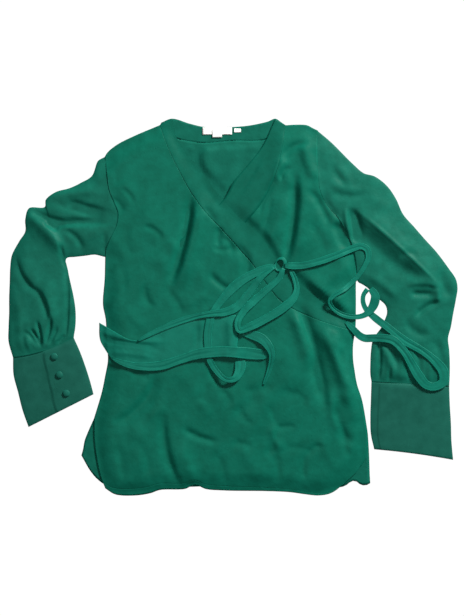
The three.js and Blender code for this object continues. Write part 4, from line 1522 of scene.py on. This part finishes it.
@dataclass
class Ties:
    """The sash, the knot and the bunched stretches of both ties.

    A bunched stretch has rolled rims and a groove between them. The groove drifts across it and fades along
    it, and the width wobbles, in swings that each have a depth, a pace in millimetres and a start.
    """

    table: Worktable
    clear: float = 0.35
    step: float = 2.5
    crown: float = 1.7
    breadth: float = 1.08
    middle: float = 0.6
    middle_round_by: float = 0.4
    crown_round_by: float = 0.35
    around_cells: int = 36
    upper_share: float = 0.7
    probes: tuple[float, ...] = (-1.1, -0.5, 0, 0.5, 1.1)
    spread: int = 3
    settle: int = 24
    taper_length: float = 9.0
    end_width: float = 0.6
    end_height: float = 0.35
    plain_height: float = 0.8
    groove_depth: float = 0.5
    groove_width: float = 0.13
    groove_share: float = 0.6
    rim_height: float = 0.45
    rim_at: float = 0.06
    rim_width: float = 0.05
    drift: Rows = ((0.12, 41.0, 2.0), (0.06, 17.0, 0.0))
    fading: Rows = ((0.4, 31.0, 4.0),)
    wobble: Rows = ((0.06, 13.0, 1.0), (0.05, 29.0, 0.0))
    bunching: float = 1.6
    bunched_area: float = 1.25
    sash_wall: float = 0.8
    sash_cells: tuple[int, int] = (100, 34)
    sash_settle: int = 10
    sash_lift: float = 0.6
    knot: tuple[float, float] = (85.0, 76.0)
    knot_reach: float = 7.0
    knot_loop: tuple[float, float] = (11.0, 8.2)
    knot_turn: float = 1.1
    knot_cloth: float = 2.2
    knot_sunk: float = 1.0
    knot_swell: tuple[float, float] = (0.4, 2.4)
    knot_twist: float = 0.1
    knot_flat: float = 0.9
    knot_cells: tuple[int, int] = (64, 28)
    over_knot: int = 3

    routes: tuple[TieRoute, ...] = (
        TieRoute("drop_loop", (
            (78, 73, 10), (56, 67, 13), (37, 59, 14), (15, 46, 15), (-6, 28, 15), (-26, 4, 14),
            (-38, -16, 13), (-44, -45, 13), (-44, -72, 13), (-41, -94, 10), (-28, -116, 9),
            (-11, -130, 9), (4, -128, 13), (12, -116, 17), (14, -104, 19), (14, -92, 19),
        ), hump=(0.86, 0.07, 5.5)),
        TieRoute("left_tie_lower", (
            (-216, -92, 4), (-200, -99, 8), (-184, -104, 11), (-164, -107, 13), (-128, -105, 15),
            (-95, -95, 16), (-60, -84, 17), (-20, -80, 18), (14, -82, 18), (46, -85, 18), (64, -86, 16),
        )),
        TieRoute("left_tie_upper", (
            (-170, -61, 4), (-150, -50, 7), (-122, -37, 9), (-92, -25, 10), (-60, -16, 10), (-36, -12, 12),
            (-12, -9, 13), (6, -1, 14), (24, 18, 13), (41, 41, 11), (55, 57, 9), (74, 71, 7),
        )),
        TieRoute("bow_tail", (
            (12, -43, 9), (32, -50, 13), (50, -56, 17), (63, -68, 15), (70, -84, 10), (69, -100, 8),
            (63, -120, 7), (55, -140, 6),
        ), hump=(0.45, 0.2, 3.0)),
        TieRoute("bow_loop", (
            (92, 69, 8), (83, 51, 9), (65, 34, 11), (41, 13, 12), (19, -9, 12), (9, -28, 12), (12, -42, 11),
            (30, -36, 13), (58, -22, 14), (88, -4, 14), (108, 14, 12), (115, 30, 10), (113, 46, 10),
            (104, 68, 9),
        ), hump=(0.6, 0.2, 3.5)),
        TieRoute("right_tie_outer", (
            (204, -27, 8), (216, -39, 10), (228, -51, 12), (238, -56, 13), (250, -56, 13), (270, -56, 13),
            (288, -60, 14), (306, -78, 15), (322, -104, 16), (334, -124, 16), (348, -140, 15),
            (364, -143, 14), (378, -134, 15), (378, -116, 16), (364, -98, 15), (342, -80, 14),
            (308, -60, 14), (280, -38, 13), (256, -19, 11), (241, -5, 8), (235, 9, 8), (236, 22, 8),
            (243, 32, 9),
        ), end_taper=0, hump=(0.45, 0.1, 1.5)),
        TieRoute("right_tie_inner", (
            (248, 33, 9), (256, 21, 13), (255, 7, 15), (247, -7, 13), (236, -15, 9), (220, -18, 8),
            (198, -14, 8), (180, -2, 8), (174, 11, 8), (181, 20, 8), (202, 33, 8), (224, 54, 8), (238, 75, 8),
            (244, 90, 9), (241, 104, 10), (230, 109, 11), (216, 105, 12), (193, 95, 12), (157, 82, 12),
            (124, 74, 12), (93, 74, 10),
        ), start_taper=0, hump=(0.86, 0.07, 2.5)),
    )
    sash_waves: Folds = folds(
        (-236, -44, -120, -62, -6, 1.6, 6, 5),
        (-230, -62, -130, -78, 4, -1.2, 5, 5),
        (-222, -82, -140, -92, 3, 1.0, 5, 5),
        (-56, -20, -58, -84, 0, 1.4, 8, 5),
        (-4, -20, -2, -84, 0, 3.2, 14, 9),
    )

    def _base(self, route: TieRoute, t: Array, points: Array, side: Array, half: Array) -> Array:
        """Finds how high a stretch lies: over all that is under it, with its hump.

        Args:
            route: the stretch.
            t: shares of its length.
            points: its middle line there.
            side: unit steps to its left there.
            half: half its width there.
        Returns:
            The height of its lower face at each share.
        """
        support = np.array([
            max(self.table.support(*(p + n * h * k)) for k in self.probes)
            for p, n, h in zip(points, side, half)
        ])
        around = np.pad(support, self.spread, mode="edge")
        shifted = [around[i : i + len(t)] for i in range(2 * self.spread + 1)]
        middle, reach, rise = route.hump
        return soften(np.max(shifted, axis=0) + self.clear, self.settle) + rise * hill(t, middle, reach)

    def _crown(self, c: Array, at: Array) -> Array:
        """Shapes the top of the bunched cloth: rolled rims and a groove that wanders.

        Args:
            c: shares across.
            at: millimetres along.
        Returns:
            The share of the full height.
        """
        groove = hill(c - swings(self.drift, at), 0.5, self.groove_width)
        groove *= self.groove_share + swings(self.fading, at)
        rims = hill(np.minimum(c, 1 - c), self.rim_at, self.rim_width)
        height = self.plain_height - self.groove_depth * groove + self.rim_height * rims
        return arched(c, self.crown_round_by) * height

    def stretch(self, route: TieRoute) -> None:
        """Lays one bunched stretch over whatever is there.

        Args:
            route: the stretch.
        """
        line = Run(*[row[:2] for row in route.rows])
        widths = Run(*[(i, row[2]) for i, row in enumerate(route.rows)])
        count = max(8, round(line.length / self.step))
        t = np.linspace(0, 1, count + 1)
        points = line.even(t)
        half = self.breadth * widths.steady(line.rows_at(t))[:, 1] / 2
        side = left_of(np.gradient(points, axis=0))
        base = self._base(route, t, points, side, half)
        travelled = t * line.length

        def place(u: Array, v: Array) -> Array:
            """Places the stretch's points.

            Args:
                u: shares round.
                v: shares along.
            Returns:
                The points in x, y and z.
            """
            row = np.clip(np.round(v * count).astype(int), 0, count)
            upper, c = around_tube(u, self.upper_share)
            at = travelled[row]
            start = 1 - route.start_taper * (1 - smoothstep(at, 0, self.taper_length))
            near_end = smoothstep(at, line.length - self.taper_length, line.length)
            taper = start * (1 - route.end_taper * near_end)
            narrowed = self.end_width + (1 - self.end_width) * taper
            across = (2 * c - 1) * half[row] * (1 + swings(self.wobble, at)) * narrowed
            low = base[row] + self.middle * (1 - arched(c, self.middle_round_by))
            lowered = self.end_height + (1 - self.end_height) * taper
            high = low + self.crown * lowered * self._crown(c, at)
            flat = points[row] + side[row] * across[:, None]
            return np.column_stack([flat, np.where(upper, high, low)])

        bm = self.table.grid((self.around_cells, count), place, None, closed=True)
        bmesh.ops.holes_fill(bm, edges=[edge for edge in bm.edges if edge.is_boundary])
        width = float(half.mean() * 2 * MM)
        length = line.length * MM
        area = width * length * self.bunched_area
        cut = Cut(width * self.bunching, length, area, held="gathered", rests_on=("right_front",))
        self.table.lay(route.node, bm, Finish.TIE, 0.0, cut)

    def lay_sash(self) -> None:
        """Lays the wide sash that comes out of the slit and bunches to the right."""
        upper = Run((-240, -28), (-228, -35), (-212, -44), (-174, -60), (-125, -38), (-62, -16), (6, -14))
        lower = Run((-221, -88), (-214, -96), (-206, -99), (-188, -108), (-166, -112), (-125, -104),
            (-62, -92), (6, -90))
        left = Run((-240, -28), (-238, -60), (-221, -88))
        right = Run((6, -14), (10, -50), (6, -90))
        plan = between(upper.even, lower.even, left.even, right.even)
        columns, rows = self.sash_cells

        def place(u: Array, v: Array) -> Array:
            """Drapes the sash over what lies under it.

            Args:
                u: shares across.
                v: shares down.
            Returns:
                The points in x, y and z.
            """
            flat = plan(u, v)
            i, j = np.round(u * columns).astype(int), np.round(v * rows).astype(int)
            under = np.zeros((columns + 1, rows + 1))
            under[i, j] = [self.table.support(x, y) for x, y in flat]
            height = soften(under, self.sash_settle)[i, j] + self.clear + self.sash_wall
            waves = np.maximum(0, self.sash_lift + relief(self.sash_waves, *flat.T))
            return np.column_stack([flat, height + waves])

        bm = self.table.grid(self.sash_cells, place, None, closed=False)
        cut = Cut(0.1, 0.25, 0.0165, rests_on=("right_front",))
        self.table.lay("left_tie_sash", bm, Finish.TIE, self.sash_wall, cut)

    def tie_knot(self) -> None:
        """Ties the knot: the bunched cloth wrapped round into a small ring with a dark hollow."""
        x0, y0 = self.knot
        probes = (-self.knot_reach, 0, self.knot_reach)
        foot = max(self.table.support(x0 + dx, y0 + dy) for dx in probes for dy in probes)
        length, width = self.knot_loop
        swell, swell_at = self.knot_swell
        turn = Vector((math.cos(self.knot_turn), math.sin(self.knot_turn)))
        bm = bmesh.new()
        bmesh.ops.create_grid(bm, x_segments=self.knot_cells[0], y_segments=self.knot_cells[1], size=0.5)
        for vert in bm.verts:
            round_ring, round_cloth = (vert.co.x + 0.5) * TAU, (vert.co.y + 0.5) * TAU
            uneven = swell * math.sin(round_ring + swell_at)
            uneven += self.knot_twist * math.cos(3 * round_cloth + round_ring)
            cloth = self.knot_cloth * (1 + uneven)
            out = 1 + cloth * math.cos(round_cloth) / width
            along, across = length * out * math.cos(round_ring), width * out * math.sin(round_ring)
            x = x0 + along * turn.x - across * turn.y
            y = y0 + along * turn.y + across * turn.x
            z = foot - self.knot_sunk + cloth * self.knot_flat * (1 + math.sin(round_cloth))
            vert.co = Vector((x, y, z)) * MM
        bmesh.ops.remove_doubles(bm, verts=bm.verts, dist=WELD)
        if bm.calc_volume(signed=True) < 0:
            bmesh.ops.reverse_faces(bm, faces=bm.faces)
        self.table.lay("knot", bm, Finish.TIE)

    def make(self) -> None:
        """Lays the sash, the knot and every stretch in the order in which they lie."""
        self.lay_sash()
        for route in self.routes[: -self.over_knot]:
            self.stretch(route)
        self.tie_knot()
        for route in self.routes[-self.over_knot :]:
            self.stretch(route)


@dataclass
class Studio:
    """A white floor that glows evenly, soft lights and the camera straight above, all in metres."""

    height: float = 2.2
    lens: float = 71.4
    aim: tuple[float, float] = (-0.0009, -0.0018)
    floor_reach: float = 4.0
    floor_level: float = -0.0005
    sky: tuple[float, ...] = (0.95, 0.97, 1.0, 1)
    sky_strength: float = 0.12
    lamps: tuple[tuple[str, tuple[float, float, float], float, float], ...] = (
        ("window", (2.3, 2.9, 1.9), 0.8, 400),
        ("fill", (-0.6, 0.2, 3.4), 1.2, 30),
    )

    def floor(self) -> None:
        """Makes the floor."""
        bm = bmesh.new()
        bmesh.ops.create_grid(bm, x_segments=1, y_segments=1, size=self.floor_reach)
        bmesh.ops.translate(bm, verts=bm.verts, vec=(0, 0, self.floor_level))
        mesh = bpy.data.meshes.new("floor")
        bm.to_mesh(mesh)
        bm.free()
        floor = bpy.data.objects.new("floor", mesh)
        bpy.context.scene.collection.objects.link(floor)
        material = bpy.data.materials.new("pale_floor")
        material.use_nodes = True
        shader = material.node_tree.nodes["Principled BSDF"]
        for label, value in (
            ("Base Color", (0, 0, 0, 1)),
            ("Roughness", 0.9),
            ("Emission Color", (1, 1, 1, 1)),
            ("Emission Strength", 1.0),
        ):
            shader.inputs[label].default_value = value
        mesh.materials.append(material)

    @staticmethod
    def lamp(name: str, place: tuple[float, float, float], size: float, power: float) -> None:
        """Hangs one soft square light, turned to the garment.

        Args:
            name: its name.
            place: where it hangs.
            size: the length of its side.
            power: its power in watts.
        """
        light = bpy.data.lights.new(name, "AREA")
        light.size = size
        light.energy = power
        lamp = bpy.data.objects.new(name, light)
        lamp.location = place
        lamp.rotation_euler = (-Vector(place)).to_track_quat("-Z", "Y").to_euler()
        bpy.context.scene.collection.objects.link(lamp)

    def make(self) -> None:
        """Sets the floor, the lights, the world and the camera."""
        self.floor()
        for lamp in self.lamps:
            self.lamp(*lamp)
        world = bpy.data.worlds.new("studio")
        world.use_nodes = True
        background = world.node_tree.nodes["Background"]
        background.inputs["Color"].default_value = self.sky
        background.inputs["Strength"].default_value = self.sky_strength
        bpy.context.scene.world = world
        bpy.context.scene.view_settings.view_transform = "Standard"
        camera = bpy.data.objects.new("camera", bpy.data.cameras.new("camera"))
        camera.data.lens = self.lens
        camera.location = (*self.aim, self.height)
        bpy.context.scene.collection.objects.link(camera)
        bpy.context.scene.camera = camera


def main() -> None:
    """Builds the studio and the garment, piece by piece."""
    logging.basicConfig(level=logging.INFO)
    Studio().make()
    table = Worktable()
    body = Body(table)
    body.make()
    NeckBands(table, body).make()
    Labels(table).make()
    Sleeves(table, body).make()
    Cuffs(table).make()
    Ties(table).make()


if __name__ == "__main__":
    main()
